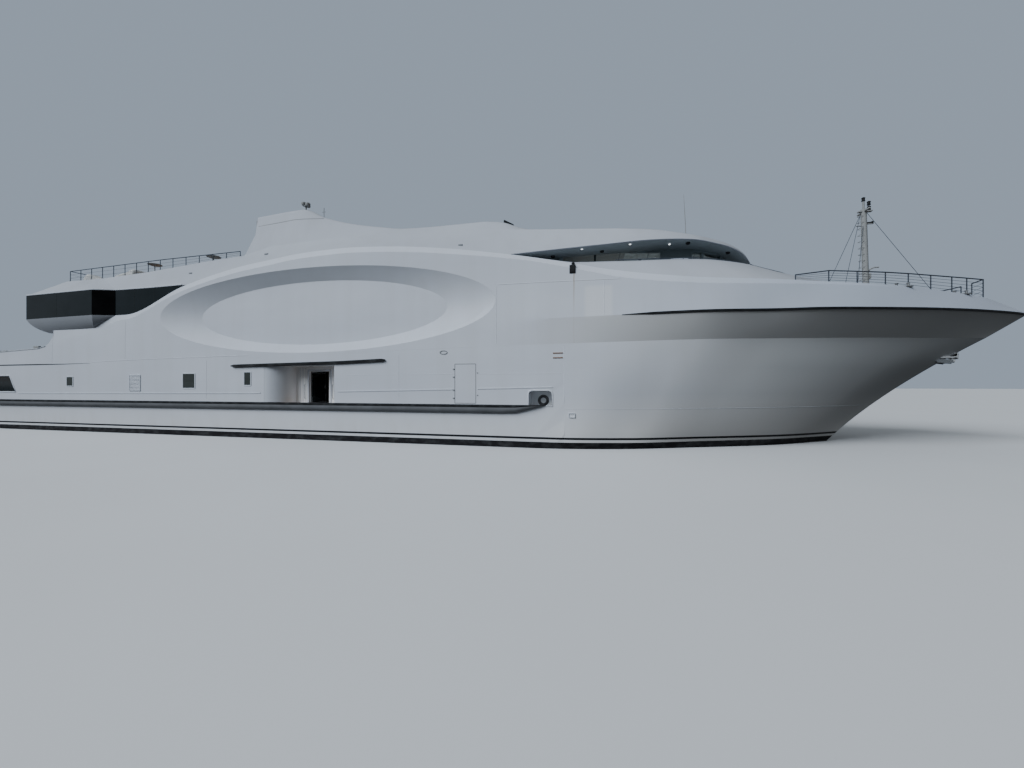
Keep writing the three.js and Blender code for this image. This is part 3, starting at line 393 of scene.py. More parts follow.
# Finished piece from one shape or several, riding on a body, in its finish; edges sharper than the angle
# stay sharp
def makePiece(name, shapes, finish, body="hull", replaced=(), sharp=30, cutters=()):
    shape = joined(*shapes) if isinstance(shapes, list) else shapes
    piece = objectOf(name, meshOf(name, shape))
    if cutters:
        cutAway(piece, cutters)
    material, usualSlot = finishes[finish]
    mesh = piece.data
    mesh.polygons.foreach_set("use_smooth", np.ones(len(mesh.polygons), bool))
    mesh.set_sharp_from_angle(angle=math.radians(sharp))
    mesh.materials.clear()
    mesh.materials.append(material)
    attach(piece, body)
    if replaced:
        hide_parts(*replaced)


# The same piece on both sides, where body and replaced are names without their side
def pair(name, shapes, finish, body=None, replaced=None, sharp=30):
    shape = joined(*shapes) if isinstance(shapes, list) else shapes
    for side, sideShape in (("stbd", shape), ("port", mirrored(shape))):
        makePiece(f"{name}_{side}", sideShape, finish, f"{body}_{side}" if body else "hull",
                  [f"{replaced}_{side}"] if replaced else (), sharp)


# Finishes: every pattern reads Object coordinates, which are frame metres on every piece
def newFinish(name, color, roughness=0.5, **others):
    finish = bpy.data.materials.new(name)
    finish.use_nodes = True
    inputs = finish.node_tree.nodes["Principled BSDF"].inputs
    values = {"Base Color": (*color, 1), "Roughness": roughness, "Coat Roughness": 0.12, **others}
    for key, value in values.items():
        inputs[key].default_value = value
    finish.diffuse_color = (*color, 1)
    return finish


# Adds a node to a finish or the world, with its settings and its constant or linked inputs
def addNode(owner, kind, inputs=None, **settings):
    node = owner.node_tree.nodes.new(kind)
    for key, value in settings.items():
        setattr(node, key, value)
    for key, value in (inputs or {}).items():
        if isinstance(value, bpy.types.NodeSocket):
            owner.node_tree.links.new(value, node.inputs[key])
        else:
            node.inputs[key].default_value = value
    return node


def feed(finish, socketName, value):
    finish.node_tree.links.new(value, finish.node_tree.nodes["Principled BSDF"].inputs[socketName])


def objectPlace(finish):
    return addNode(finish, "ShaderNodeTexCoord").outputs["Object"]


def axesOf(finish, value):
    return addNode(finish, "ShaderNodeSeparateXYZ", {0: value}).outputs


def noise(finish, scale, stretch=(1, 1, 1), detail=4.0, roughness=0.55):
    where = addNode(finish, "ShaderNodeMapping", {"Vector": objectPlace(finish), "Scale": stretch})
    return addNode(finish, "ShaderNodeTexNoise", {"Vector": where.outputs["Vector"], "Scale": scale,
                   "Detail": detail, "Roughness": roughness}).outputs["Fac"]


def remap(finish, value, low, high, toLow=0.0, toHigh=1.0):
    return addNode(finish, "ShaderNodeMapRange", {"Value": value, "From Min": low, "From Max": high,
                   "To Min": toLow, "To Max": toHigh}).outputs["Result"]


def mathOf(owner, operation, a, b=0.0):
    return addNode(owner, "ShaderNodeMath", {0: a, 1: b}, operation=operation).outputs[0]


def product(owner, first, *others):
    for other in others:
        first = mathOf(owner, "MULTIPLY", first, other)
    return first


def blendColor(finish, share, a, b):
    ends = [(*end, 1) if isinstance(end, tuple) else end for end in (a, b)]
    return addNode(finish, "ShaderNodeMix", {0: share, 6: ends[0], 7: ends[1]}, data_type="RGBA").outputs[2]


def bump(finish, height, strength, distance, under=None):
    inputs = {"Height": height, "Strength": strength, "Distance": distance}
    if under is not None:
        inputs["Normal"] = under
    raised = addNode(finish, "ShaderNodeBump", inputs).outputs["Normal"]
    feed(finish, "Normal", raised)
    return raised


# 1 inside a band between two values, 0 outside, with soft edges
def bandMask(finish, value, low, high, soft):
    return product(finish, remap(finish, value, low - soft, low + soft),
                   remap(finish, value, high - soft, high + soft, 1.0, 0.0))


def scaled(color, share):
    return tuple(share * c for c in color)


# Gloss hull paint. Heights and places are frame metres: the black boot top, and on the topsides one
# repaired patch and a weeping streak below the side light
# Painted light and shade among these: the colour for the walls set in, and the forward, flare, low and high
# colours; the rest are the paint's own
paintLook = {"white": (0.66, 0.70, 0.77), "shade": (0.60, 0.64, 0.71), "streak": (0.50, 0.52, 0.52),
             "grime": (0.42, 0.41, 0.36), "bootTop": (0.012, 0.013, 0.016), "patch": (0.88, 0.89, 0.89),
             "paintedRecessLight": (0.95, 0.96, 0.97), "weep": (0.40, 0.34, 0.27), "forward": (0.45, 0.52, 0.63),
             "flare": (0.70, 0.70, 0.68), "low": (0.97, 0.97, 0.96), "high": (0.33, 0.35, 0.36)}
bootTop = {"low": 0.214, "high": 0.266, "soft": 0.0012}
repair = {"x": (24.35, 24.96), "z": (3.06, 3.78), "soft": 0.04, "share": 0.3}
weepLook = {"x": (24.086, 24.112), "z": (3.2, 4.05), "soft": 0.010, "share": (0.12, 0.9), "waver": 0.006}


# Hull sides: grime over the boot top; painted light whitening the walls set in, where shade falls; towards
# the bow a neutral painted shade tone, with painted light making it paler low down and painted shade darker
# high up
def hullSideTints(finish, color, look):
    axes = axesOf(finish, objectPlace(finish))
    low = product(finish, remap(finish, axes["Z"], 0.75, 0.27), 0.3)
    grime = product(finish, low, remap(finish, noise(finish, 2.2, (1.5, 1.5, 0.6), 5), 0.4, 0.75))
    # Painted light: walls set in from the side, mostly in shade, are whitened
    inboard = product(finish, remap(finish, mathOf(finish, "ABSOLUTE", axes["Y"]), 3.0, 2.6),
                      remap(finish, axes["X"], 23.64, 23.61, 0, 0.85))
    # Painted light low down towards the bow, standing in for light thrown up from below; painted shade high up
    lowShare = product(finish, remap(finish, axes["Z"], 1.3, 0.45, 0, 0.9),
                       remap(finish, axes["X"], 23.0, 26.5, 0.3, 1.0))
    highShare = product(finish, remap(finish, axes["Z"], 1.1, 1.9, 0, 0.6),
                        remap(finish, axes["X"], 26.2, 28.8))
    for key, share in (("grime", grime), ("paintedRecessLight", inboard),
                       ("flare", remap(finish, axes["X"], 23.8, 28.5, 0, 0.6)), ("low", lowShare),
                       ("high", highShare), ("bootTop", bandMask(finish, axes["Z"], *bootTop.values()))):
        color = blendColor(finish, share, color, look[key])
    return color


# Topsides: painted shade with a bluish sky reflection towards the bow on faces that look up, and a plainer
# painted shade tone on the flare that looks down
def topsideTints(finish, color, look):
    axes = axesOf(finish, objectPlace(finish))
    facing = axesOf(finish, addNode(finish, "ShaderNodeNewGeometry").outputs["Normal"])["Z"]
    # Painted shade and sky reflection: up-facing faces turn bluer and darker towards the bow; the down-facing
    # flare takes a plainer painted shade tone
    forwardShare = product(finish, remap(finish, facing, -0.12, 0.0),
                           remap(finish, axes["X"], 24.5, 30.0, 0, 0.6))
    flareShare = product(finish, remap(finish, facing, 0.0, -0.12),
                         remap(finish, axes["X"], 22.0, 26.0, 0, 0.7))
    starboardSide = remap(finish, axes["Y"], -2.6, -2.7)
    patchShare = product(finish, bandMask(finish, axes["X"], *repair["x"], repair["soft"]),
                         bandMask(finish, axes["Z"], *repair["z"], repair["soft"]), starboardSide,
                         repair["share"])
    waver = remap(finish, noise(finish, 3.0, (0, 0, 1), 2), 0.3, 0.7, -weepLook["waver"], weepLook["waver"])
    weep = bandMask(finish, mathOf(finish, "ADD", axes["X"], waver), *weepLook["x"], weepLook["soft"])
    fade = remap(finish, axes["Z"], *weepLook["z"], *weepLook["share"])
    for key, share in (("forward", forwardShare), ("flare", flareShare), ("patch", patchShare),
                       ("weep", product(finish, weep, fade, starboardSide))):
        color = blendColor(finish, share, color, look[key])
    return color


# Clouds of slightly greyer white, faint runs down the plating and slow ripples of the plates
def hullPaint(name, tints=None, dim=1.0):
    look = {key: scaled(value, dim) for key, value in paintLook.items()}
    finish = newFinish(name, look["white"], 0.34, **{"Coat Weight": 0.2})
    clouds = remap(finish, noise(finish, 0.5, (0.5, 1, 1.4), 5), 0.35, 0.7)
    runs = product(finish, remap(finish, noise(finish, 1.6, (1.7, 1.7, 0.10), 2, 0.5), 0.45, 0.85), 0.20)
    color = blendColor(finish, clouds, look["white"], look["shade"])
    color = blendColor(finish, runs, color, look["streak"])
    feed(finish, "Base Color", tints(finish, color, look) if tints else color)
    feed(finish, "Roughness", remap(finish, noise(finish, 1.3, (1, 1, 1), 2), 0.3, 0.7, 0.30, 0.38))
    under = bump(finish, noise(finish, 0.7, (1, 1, 0.7), 1, 0.4), 0.12, 0.008)
    bump(finish, noise(finish, 60.0, (1, 1, 1), 2), 0.02, 0.0006, under)
    return finish


# Dull black for rubber, strakes and painted lines: worn paler patches and a fine grain
def blackFinish(name, color, roughness, worn):
    finish = newFinish(name, color, roughness)
    patches = remap(finish, noise(finish, 5.0, (1, 1, 2), 5), 0.45, 0.8)
    feed(finish, "Base Color", blendColor(finish, product(finish, patches, worn), color, (0.10, 0.105, 0.11)))
    feed(finish, "Roughness", remap(finish, noise(finish, 40.0), 0.3, 0.7, roughness - 0.1, roughness + 0.12))
    bump(finish, noise(finish, 160.0), 0.15, 0.001)
    return finish


# Tinted glass: a slight ripple in its gloss, and a film of haze
def glassFinish(name, color, clear=0.0, roughness=0.04, specular=0.5):
    finish = newFinish(name, color, roughness,
                       **{"Specular IOR Level": specular, "Transmission Weight": clear, "IOR": 1.45})
    haze = remap(finish, noise(finish, 1.6, (1, 1, 1.5), 4), 0.3, 0.75)
    hazy = tuple(min(1, c * 1.9 + 0.012) for c in color)
    feed(finish, "Base Color", blendColor(finish, product(finish, haze, 0.35), color, hazy))
    feed(finish, "Roughness", remap(finish, haze, 0, 1, roughness, roughness + 0.07))
    bump(finish, noise(finish, 2.5, (1, 1, 0.6), 2), 0.06, 0.004)
    return finish


# Metal with drawn streaks along one way and duller patches
def metalFinish(name, color, roughness, stretch=(0.4, 8, 8), tarnish=(0.2, 0.2, 0.2), share=0.3):
    finish = newFinish(name, color, roughness, Metallic=0.95)
    drawn = noise(finish, 30.0, stretch, 3)
    dull = remap(finish, noise(finish, 4.0), 0.45, 0.8)
    feed(finish, "Base Color", blendColor(finish, product(finish, dull, share), color, tarnish))
    feed(finish, "Roughness", remap(finish, drawn, 0.3, 0.7, roughness - 0.08, roughness + 0.12))
    bump(finish, drawn, 0.08, 0.0006)
    return finish


# Plain painted finish with soft clouds and an orange-peel grain
def plainFinish(name, color, roughness, shade=0.82, grain=70.0):
    finish = newFinish(name, color, roughness)
    clouds = remap(finish, noise(finish, 2.2, (1, 1, 1.3), 5), 0.35, 0.75)
    feed(finish, "Base Color", blendColor(finish, clouds, color, scaled(color, shade)))
    feed(finish, "Roughness", remap(finish, noise(finish, 12.0), 0.3, 0.7, roughness - 0.06, roughness + 0.08))
    bump(finish, noise(finish, grain, detail=2), 0.05, 0.001)
    return finish


# Lamp glass: milky white that glows a little, ribbed
def lampFinish(name, color, glow):
    finish = newFinish(name, color, 0.25, **{"Emission Color": (*color, 1), "Emission Strength": glow})
    ribs = noise(finish, 60.0, (1, 1, 1), 2)
    feed(finish, "Base Color", blendColor(finish, ribs, color, scaled(color, 0.8)))
    bump(finish, ribs, 0.2, 0.002)
    return finish


# Lining of a lit room: painted glow in patches, a light of its own that stands in for the light in the room
def litFinish(name, color, glow):
    finish = plainFinish(name, color, 0.6, 0.7)
    finish.node_tree.nodes["Principled BSDF"].inputs["Emission Color"].default_value = (*color, 1)
    glowPatches = remap(finish, noise(finish, 9.0, (1, 1, 0.5), 4), 0.35, 0.7, 0.2, 1.0)
    feed(finish, "Emission Strength", product(finish, glowPatches, glow))
    return finish


# Teak: planks along the ship parted by dark caulking, each plank a slightly different shade, with grain
def teakFinish(name, light, dark, plank=0.030):
    finish = newFinish(name, light, 0.62)
    across = mathOf(finish, "DIVIDE", axesOf(finish, objectPlace(finish))["Y"], plank)
    edge = mathOf(finish, "ABSOLUTE", mathOf(finish, "SUBTRACT", mathOf(finish, "FRACT", across), 0.5))
    tone = addNode(finish, "ShaderNodeTexWhiteNoise", {"W": mathOf(finish, "FLOOR", across)},
                   noise_dimensions="1D").outputs["Value"]
    grain = remap(finish, noise(finish, 14.0, (0.6, 9, 1), 4), 0.3, 0.7)
    shade = mathOf(finish, "ADD", product(finish, tone, 0.45), product(finish, grain, 0.4))
    caulk = remap(finish, edge, 0.44, 0.455)
    weathered = blendColor(finish, remap(finish, noise(finish, 1.2), 0.4, 0.8, 0, 0.5),
                           blendColor(finish, shade, light, dark), (0.33, 0.30, 0.26))
    feed(finish, "Base Color", blendColor(finish, caulk, weathered, (0.02, 0.02, 0.022)))
    feed(finish, "Roughness", remap(finish, grain, 0, 1, 0.5, 0.75))
    bump(finish, mathOf(finish, "SUBTRACT", product(finish, grain, 0.2), caulk), 0.3, 0.0008)
    return finish


# Each finish with a slot name beside it
finishes = {
    "teak": (teakFinish("teakDeck", (0.42, 0.27, 0.15), (0.29, 0.18, 0.10)), "grey_paint"),
    "hull": (hullPaint("hullPaint", hullSideTints), "hull_white"),
    "white": (hullPaint("topsidePaint", topsideTints), "hull_white"),
    # Deckhouse: a dimmer copy of the hull paint, painted shade on its plating
    "deckhouse": (hullPaint("deckhousePaintShaded", dim=0.78), "hull_white"),
    # Lounge bowl: a much dimmer copy of the hull paint, painted shade under the glass band
    "bowl": (hullPaint("bowlPaintShaded", dim=0.46), "hull_white"),
    "antifouling": (blackFinish("antifouling", (0.012, 0.012, 0.014), 0.75, 0.5), "antifouling"),
    "black": (blackFinish("blackPaint", (0.010, 0.011, 0.013), 0.35, 0.25), "black_paint"),
    "rubber": (blackFinish("rubRubber", (0.014, 0.015, 0.017), 0.6, 0.6), "black_rubber"),
    "loungeGlass": (glassFinish("loungeGlass", (0.003, 0.008, 0.011), specular=0.26), "tinted_glass"),
    "bridgeGlass": (glassFinish("bridgeGlass", (0.70, 0.78, 0.80), 1.0, 0.02, 0.4), "tinted_glass"),
    "sideGlass": (glassFinish("sideGlass", (0.035, 0.042, 0.040), 0.0, 0.12), "tinted_glass"),
    "darkGlass": (glassFinish("darkGlass", (0.006, 0.010, 0.012)), "tinted_glass"),
    "doorGlass": (glassFinish("doorGlass", (0.03, 0.05, 0.055), 0.3), "tinted_glass"),
    "facet": (glassFinish("facetBlack", (0.0010, 0.0012, 0.0016), 0.0, 0.25, 0.05), "black_paint"),
    "steel": (metalFinish("polishedSteel", (0.62, 0.64, 0.66), 0.24), "steel"),
    "railSteel": (metalFinish("railSteel", (0.20, 0.23, 0.28), 0.4, (3, 3, 3), (0.10, 0.11, 0.13)), "steel"),
    "bronze": (metalFinish("propellerBronze", (0.55, 0.33, 0.12), 0.34, (3, 3, 3), (0.16, 0.12, 0.06), 0.5),
               "bronze"),
    "grey": (plainFinish("greyPaint", (0.27, 0.29, 0.31), 0.42), "grey_paint"),
    "soffit": (plainFinish("soffitGrey", (0.42, 0.48, 0.50), 0.5), "grey_paint"),
    # Dark grey for the strake's underside: painted shade under its cap
    "strakeGrey": (plainFinish("strakeGrey", (0.20, 0.21, 0.225), 0.5, 0.7), "grey_paint"),
    "rustyTrim": (plainFinish("rustyTrim", (0.30, 0.20, 0.15), 0.6, 0.6), "grey_paint"),
    "seamGrey": (plainFinish("seamGrey", (0.30, 0.31, 0.33), 0.5, 0.8), "grey_paint"),
    "mastGrey": (plainFinish("mastGrey", (0.30, 0.31, 0.31), 0.45, 0.8), "grey_paint"),
    "teal": (plainFinish("wheelhouseTeal", (0.055, 0.085, 0.095), 0.4, 0.8), "grey_paint"),
    "wallGrey": (plainFinish("wheelhouseGrey", (0.30, 0.37, 0.39), 0.45, 0.8), "grey_paint"),
    "walnut": (plainFinish("walnutPanel", (0.050, 0.034, 0.026), 0.4, 0.6, 30.0), "grey_paint"),
    "cushion": (plainFinish("greyCushion", (0.36, 0.35, 0.33), 0.9, 0.85, 320.0), "grey_paint"),
    "dome": (plainFinish("domePlastic", (0.68, 0.70, 0.72), 0.42, 0.9), "dome_white"),
    "canvas": (plainFinish("whiteCanvas", (0.62, 0.63, 0.62), 0.85, 0.8, 260.0), "hull_white"),
    "lamp": (lampFinish("lampGlass", (0.9, 0.95, 1.0), 1.6), "hull_white"),
    # Beige lining and headlining glow with painted light that stands in for the light inside the wheelhouse
    "beige": (litFinish("beigeLining", (0.42, 0.41, 0.38), 0.45), "grey_paint"),
    "headlining": (litFinish("greyHeadlining", (0.36, 0.40, 0.42), 0.32), "grey_paint"),
}
print("finishes made:", len(finishes))

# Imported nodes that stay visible, in the finishes above
nodeFinishes = {
    "hull": ["hull_stern_block", "hull_aft_block", "hull_mid_block", "hull_mooring_block"],
    "white": ["aft_bulwark", "hatch_coaming", "shell_door_stbd", "shell_door_port"],
    "steel": ["shaft_stbd", "shaft_port"],
    "bridgeGlass": ["wheelhouse_glass"],
}
for finishName, nodeNames in nodeFinishes.items():
    for nodeName in nodeNames:
        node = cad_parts[nodeName]
        node.data.materials.clear()
        node.data.materials.append(finishes[finishName][0])

# Hull below the boot top: keel, bilge, turn and waterline joined by a smooth section, with a
# centreline skeg and the bearings of the rudder stocks
bottomLook = {"columns": 121, "rows": 15, "shares": [0, 0.42, 1], "skegHalf": 0.12, "screwY": 2.9,
              "rudderX": 1.75, "bearing": 0.16}
share = np.linspace(0, 1, bottomLook["columns"])
bottomLines = np.stack([stretched(line, 0, share) for line in (keelLine, bilgeLine, turnLine, waterLine)])
bottomCurves = curvedLevels(bottomLines[1:], bottomLook["shares"], np.linspace(0, 1, bottomLook["rows"]))
skeg = prismShape([[4.5, -0.3], [5.2, -1.9], [12, -2.0], [15, -1.9], [15, -0.3]],
                  -bottomLook["skegHalf"], bottomLook["skegHalf"], "xz", 0.03)
bearingFoot = np.array([bottomLook["rudderX"], -bottomLook["screwY"], -0.32])
bearing = rodShape(bearingFoot, bearingFoot * [1, 1, 0], bottomLook["bearing"], 20)
makePiece("hull_underwater", [lofted(np.concatenate([bottomLines[:1], bottomCurves])), skeg,
                              bothSides(bearing)], "antifouling", replaced=["hull_bottom"], sharp=24)

# Bow plating from the boot top to the lower knuckle: each frame is a smooth curve through the
# waterline, the topside and the knuckle, and ends on the raked stem
bowLook = {"from": 47.75, "columns": 141, "rows": 31, "shares": [0, 0.437, 1]}
share = np.linspace(0, 1, bowLook["columns"])
bowLines = np.stack([stretched(line, bowLook["from"], share)
                     for line in (waterLine, topsideLine, lowerKnuckle)])
bowLines[0, :, 2] += seam
bowRows = curvedLevels(bowLines, bowLook["shares"], np.linspace(0, 1, bowLook["rows"]))
makePiece("bow_plating", lofted(bowRows), "hull", replaced=["hull_bow_block"], sharp=24)
print("hull plating made")

# Upper plating from the lower knuckle to the shoulder, and from under the lounge to the bow tip, with
# the elliptical recess in each side and the foredeck well inside its bulwark; each ellipse is half
# length, half height and the height of its middle
upperLook = {"from": 13.5, "lowRows": 13, "highRows": 24, "bulwark": 0.25, "wellAft": 60.6,
             "wellFore": 67.4, "softKnuckle": 0.5}
recess = {"x": 33.7, "outer": (10.7, 2.35, 7.15), "inner": (8.0, 1.77, 7.07), "depth": 0.45,
          "aft": 22.4, "fore": 45.0, "edgeColumns": 70, "softKnuckle": 2.5}
sideLines = (lowerKnuckle, upperKnuckle, shoulderLine)

# Chamfer along the shoulder: its height at each x, and how far it stands out from the straight side
chamferHeight = [[13, 1.4], [15.5, 1.3], [17.85, 0.85], [19.8, 0.34], [22, 0.36], [24.6, 0.42], [28.9, 0.42],
                 [36, 0.38], [40.9, 0.36], [45.9, 0.27], [48, 0.3], [50.8, 0.36], [54.2, 0.3], [57.1, 0.22],
                 [60, 0.12], [69.7, 0.02]]
chamferBulge = [[13, 0.0], [18, 0.03], [22, 0.16], [28, 0.22], [46, 0.22], [51, 0.16], [57, 0.06], [64, 0.0],
                [69.7, 0.0]]


# Lower edge of that chamfer under given points of the shoulder, above those of the upper knuckle
def chamferUnder(mid, high):
    drop = lineAt(chamferHeight, high[:, 0])[:, 0]
    share = np.minimum(drop / np.maximum(high[:, 2] - mid[:, 2], 0.05), 0.9)[:, None]
    point = high * (1 - share) + mid * share
    point[:, 1] -= lineAt(chamferBulge, high[:, 0])[:, 0]
    return point


def kneeRadius(x):
    return upperLook["softKnuckle"] * np.clip((47 - x) / 3, 0, 1)


# Half breadth of the upper side at each x and height: two slopes that meet at the upper knuckle
# through a hyperbola of a given radius
def upperHalf(x, z, radius):
    x = np.atleast_1d(np.asarray(x, float))
    low, mid = lineAt(lowerKnuckle, x), lineAt(upperKnuckle, x)
    high = chamferUnder(starboard(upperKnuckle, x), starboard(shoulderLine, x))[:, 1:] * [-1, 1]
    below = (mid[:, 0] - low[:, 0]) / (mid[:, 1] - low[:, 1])
    above = (high[:, 0] - mid[:, 0]) / (high[:, 1] - mid[:, 1])
    rise = z - mid[:, 1]
    return mid[:, 0] + (below + above) / 2 * rise + (above - below) / 2 * np.sqrt(rise ** 2 + radius ** 2)


# Starboard point of the side at each x and height: flat below the lower knuckle, upper side above it
def onSide(x, z, lift=0.0):
    x, z = np.broadcast_arrays(np.atleast_1d(np.asarray(x, float)), np.atleast_1d(np.asarray(z, float)))
    low = lineAt(lowerKnuckle, x)
    half = np.where(z > low[:, 1], upperHalf(x, z, kneeRadius(x)), low[:, 0])
    return np.column_stack([x, -half - lift, z])


# Side rows from the lower knuckle over the upper one to the shoulder, with that softened knuckle
def sideGrid(low, mid, high):
    a = np.linspace(0, 1, upperLook["lowRows"])[:, None, None]
    b = np.linspace(0, 1, upperLook["highRows"])[1:, None, None]
    grid = np.concatenate([low * (1 - a) + mid * a, mid * (1 - b) + high * b])
    turn = ((high[:, 1] - mid[:, 1]) / (high[:, 2] - mid[:, 2] + 1e-6)
            - (mid[:, 1] - low[:, 1]) / (mid[:, 2] - low[:, 2]))
    rise = np.abs(grid[..., 2] - mid[:, 2])
    grid[..., 1] += turn / 2 * (np.sqrt(rise ** 2 + kneeRadius(grid[..., 0]) ** 2) - rise)
    return grid


# Recess patch: rings that go from the middle of the panel to its ellipse, across the sloped band to
# the outer ellipse, and out to the straight edges of the strips on both sides
def recessPatch(leftEdge, topEdge, rightEdge, bottomEdge):
    rim = np.concatenate([rightEdge[:-1], topEdge[::-1][:-1], leftEdge[::-1][:-1], bottomEdge[:-1]])
    halfLong, halfHigh, middle = recess["outer"]
    angle = np.arctan2((rim[:, 2] - middle) / halfHigh, (rim[:, 0] - recess["x"]) / halfLong)
    outer, inner = (np.column_stack([recess["x"] + long * np.cos(angle), mid + high * np.sin(angle)])
                    for long, high, mid in (recess["outer"], recess["inner"]))
    centre = np.array([recess["x"], recess["inner"][2]])
    s = np.array([0, 0.3, 0.6, 0.85, 1.0])[:, None, None]
    q = np.linspace(0, 1, 7)[1:, None, None]
    r = (np.linspace(0, 1, 13)[1:] ** 1.15)[:, None, None]
    flat = np.concatenate([centre + (inner - centre) * s, inner + (outer - inner) * q,
                           outer + (rim[:, [0, 2]] - outer) * r])
    sunk = recess["depth"] * np.concatenate([np.ones(len(s)), 1 - q.ravel(), np.zeros(len(r))])
    inside = np.arange(len(flat))[:, None] < len(s) + len(q) - 1
    x, z = flat[..., 0], flat[..., 1]
    radius = np.where(inside, recess["softKnuckle"], kneeRadius(x))
    half = np.stack([upperHalf(x[k], z[k], radius[k]) for k in range(len(flat))])
    grid = np.stack([x, sunk[:, None] - half, z], -1)
    grid[-1] = rim
    return gridShape(grid, closedCols=True)


# Level rows and their mirror images, joined across the ship
def acrossShape(rows):
    rows = np.asarray(rows, float)
    return gridShape(np.stack([rows, rows * [1, -1, 1]]))


aftX = np.linspace(upperLook["from"], recess["aft"], 60)
patchX = np.linspace(recess["aft"], recess["fore"], recess["edgeColumns"])
wellShares = (np.array([upperLook["wellAft"], upperLook["wellFore"]]) - recess["fore"]) / (
    shoulderLine[-1][0] - recess["fore"])
foreShare = np.concatenate([np.linspace(0, wellShares[0], 90), np.linspace(*wellShares, 50)[1:],
                            np.linspace(wellShares[1], 1, 24)[1:]])
runs = [[starboard(line, aftX) for line in sideLines], [starboard(line, patchX) for line in sideLines],
        [stretched(line, recess["fore"], foreShare) for line in sideLines]]
shoulder = [lines[2] for lines in runs]
for lines in runs:
    lines[0][:, 2] += seam
    lines[2] = chamferUnder(lines[1], lines[2])
aftSide, foreSide = sideGrid(*runs[0]), sideGrid(*runs[2])
patch = recessPatch(aftSide[:, -1], runs[1][2], foreSide[:, 0], runs[1][0])
bottomRow = np.concatenate([aftSide[0], runs[1][0][1:-1], foreSide[0]])
chamferRow = np.concatenate([aftSide[-1], runs[1][2][1:-1], foreSide[-1]])
topRow = np.concatenate([shoulder[0], shoulder[1][1:-1], shoulder[2]])
innerRow = topRow.copy()
innerRow[:, 1] = -np.maximum(-topRow[:, 1] - upperLook["bulwark"], -topRow[:, 1] * 0.5)
portSide = [1, -1, 1]
wellAft, wellFore = (int(np.argmin(np.abs(topRow[:, 0] - upperLook[key]))) for key in ("wellAft", "wellFore"))
wellTop = innerRow[wellAft:wellFore + 1]
wellDeck = wellTop * [1, 1, 0] + [0, 0, deck["fore"]]
wellRing = np.stack([wellTop, wellDeck, wellDeck * portSide, wellTop * portSide])
capHalf = np.stack([chamferRow[0], topRow[0], innerRow[0]])
capPoints = np.concatenate([capHalf, capHalf[::-1] * portSide])
upperShape = [
    bothSides(joined(gridShape(aftSide), patch, gridShape(foreSide),
                     gridShape(np.stack([chamferRow, topRow, innerRow])))),
    acrossShape(bottomRow), acrossShape(innerRow[:wellAft + 1]), acrossShape(innerRow[wellFore:]),
    gridShape(wellRing), acrossShape(wellRing[:2, 0]), acrossShape(wellRing[:2, -1]),
    acrossShape(aftSide[:, 0]), (capPoints, np.array([[0, 1, 2, 2], [0, 2, 3, 5], [5, 3, 4, 4]]))]

# Plan of the wheelhouse wall, from aft forward on the starboard side, then back on the port side
bridgeHalf = np.array([[47.3, -4.3], [49.1, -4.0], [52.4, -3.2], [54.4, -2.65], [55.5, -1.9], [56.1, -1.0]])
bridgePlan = mirroredPlan(bridgeHalf)
bridgeSeat = prismShape(inset(bridgePlan, -seam), deck["sill"], 11)
bridgeWell = prismShape(inset(bridgePlan, 0.35), deck["bridge"], 11)
bridgeHead = prismShape(inset(bridgePlan, -seam), 8, deck["ceiling"])
lobbyCut = blockShape([12.5, -1.25, 4.45], [15.6, 1.25, 6.35], 0.001, 1)
makePiece("upper_plating", upperShape, "white", replaced=["upper_topsides", "bow_topsides"], sharp=4.5,
          cutters=[lobbyCut, bridgeSeat, bridgeWell])
print("upper plating made")

# Deckhouse: side fins that rise from a shoulder over a crease to the roof edge, the arch over the
# sky deck, and the hollow aft edge of the fins
houseLook = {"from": 28.2, "to": 45.0994, "columns": 150, "crease": 0.10, "edge": 0.22, "hollow": 0.3}
houseX = np.linspace(houseLook["from"], houseLook["to"], houseLook["columns"])
houseFoot = starboard(shoulderLine, houseX, seam)
houseCrease, houseEdge = starboard(roofCrease, houseX), starboard(roofEdge, houseX)
houseRows = easedLevels([houseFoot, houseCrease, houseCrease + (houseEdge - houseCrease) * 0.5, houseEdge,
                         inwards(houseEdge, 0.5, 0.02)], [houseLook["crease"], 0, houseLook["edge"]])
wayUp = np.clip((houseRows[..., 2] - houseCrease[:, 2]) / (houseEdge[:, 2] - houseCrease[:, 2]), 0, 1)
nearAft = np.clip(1 - (houseX - houseLook["from"]) / 1.3, 0, 1) ** 2
houseRows[..., 0] += (houseLook["hollow"] * 4 * wayUp * (1 - wayUp) - 0.1 * wayUp) * nearAft
underArch = blockShape([27, -3.4, deck["sky"]], [43.9, 3.4, 13.05], 0.02, 2)
openSky = blockShape([31.2, -3.4, 12.9], [43.9, 3.4, 15], 0.02, 2)
makePiece("deckhouse_plating", lofted(houseRows), "deckhouse", replaced=["deckhouse"], sharp=12,
          cutters=[underArch, openSky])

# Visor: roof over the wheelhouse with a thin lip and a grey soffit let into its underside
visorLook = {"from": 45.1, "columns": 90, "crease": 0.12, "edge": 0.25, "lip": 0.05}
share = np.linspace(0, 1, visorLook["columns"])
lipLine, creaseLine, edgeLine = (stretched(line, visorLook["from"], share)
                                 for line in (visorLip, roofCrease, roofEdge))
visorRows = easedLevels([inwards(lipLine, 0.14), lipLine, creaseLine, edgeLine, inwards(edgeLine, 0.6, 0.03)],
                        [visorLook["lip"], visorLook["crease"], visorLook["edge"]])
makePiece("visor_plating", lofted(visorRows), "deckhouse", replaced=["visor"], sharp=14, cutters=[bridgeHead])
soffitRows = np.stack([inwards(lipLine, 0.16, rise) for rise in (-0.012, 0.05)])
makePiece("visor_soffit", lofted(soffitRows), "soffit", cutters=[bridgeHead])

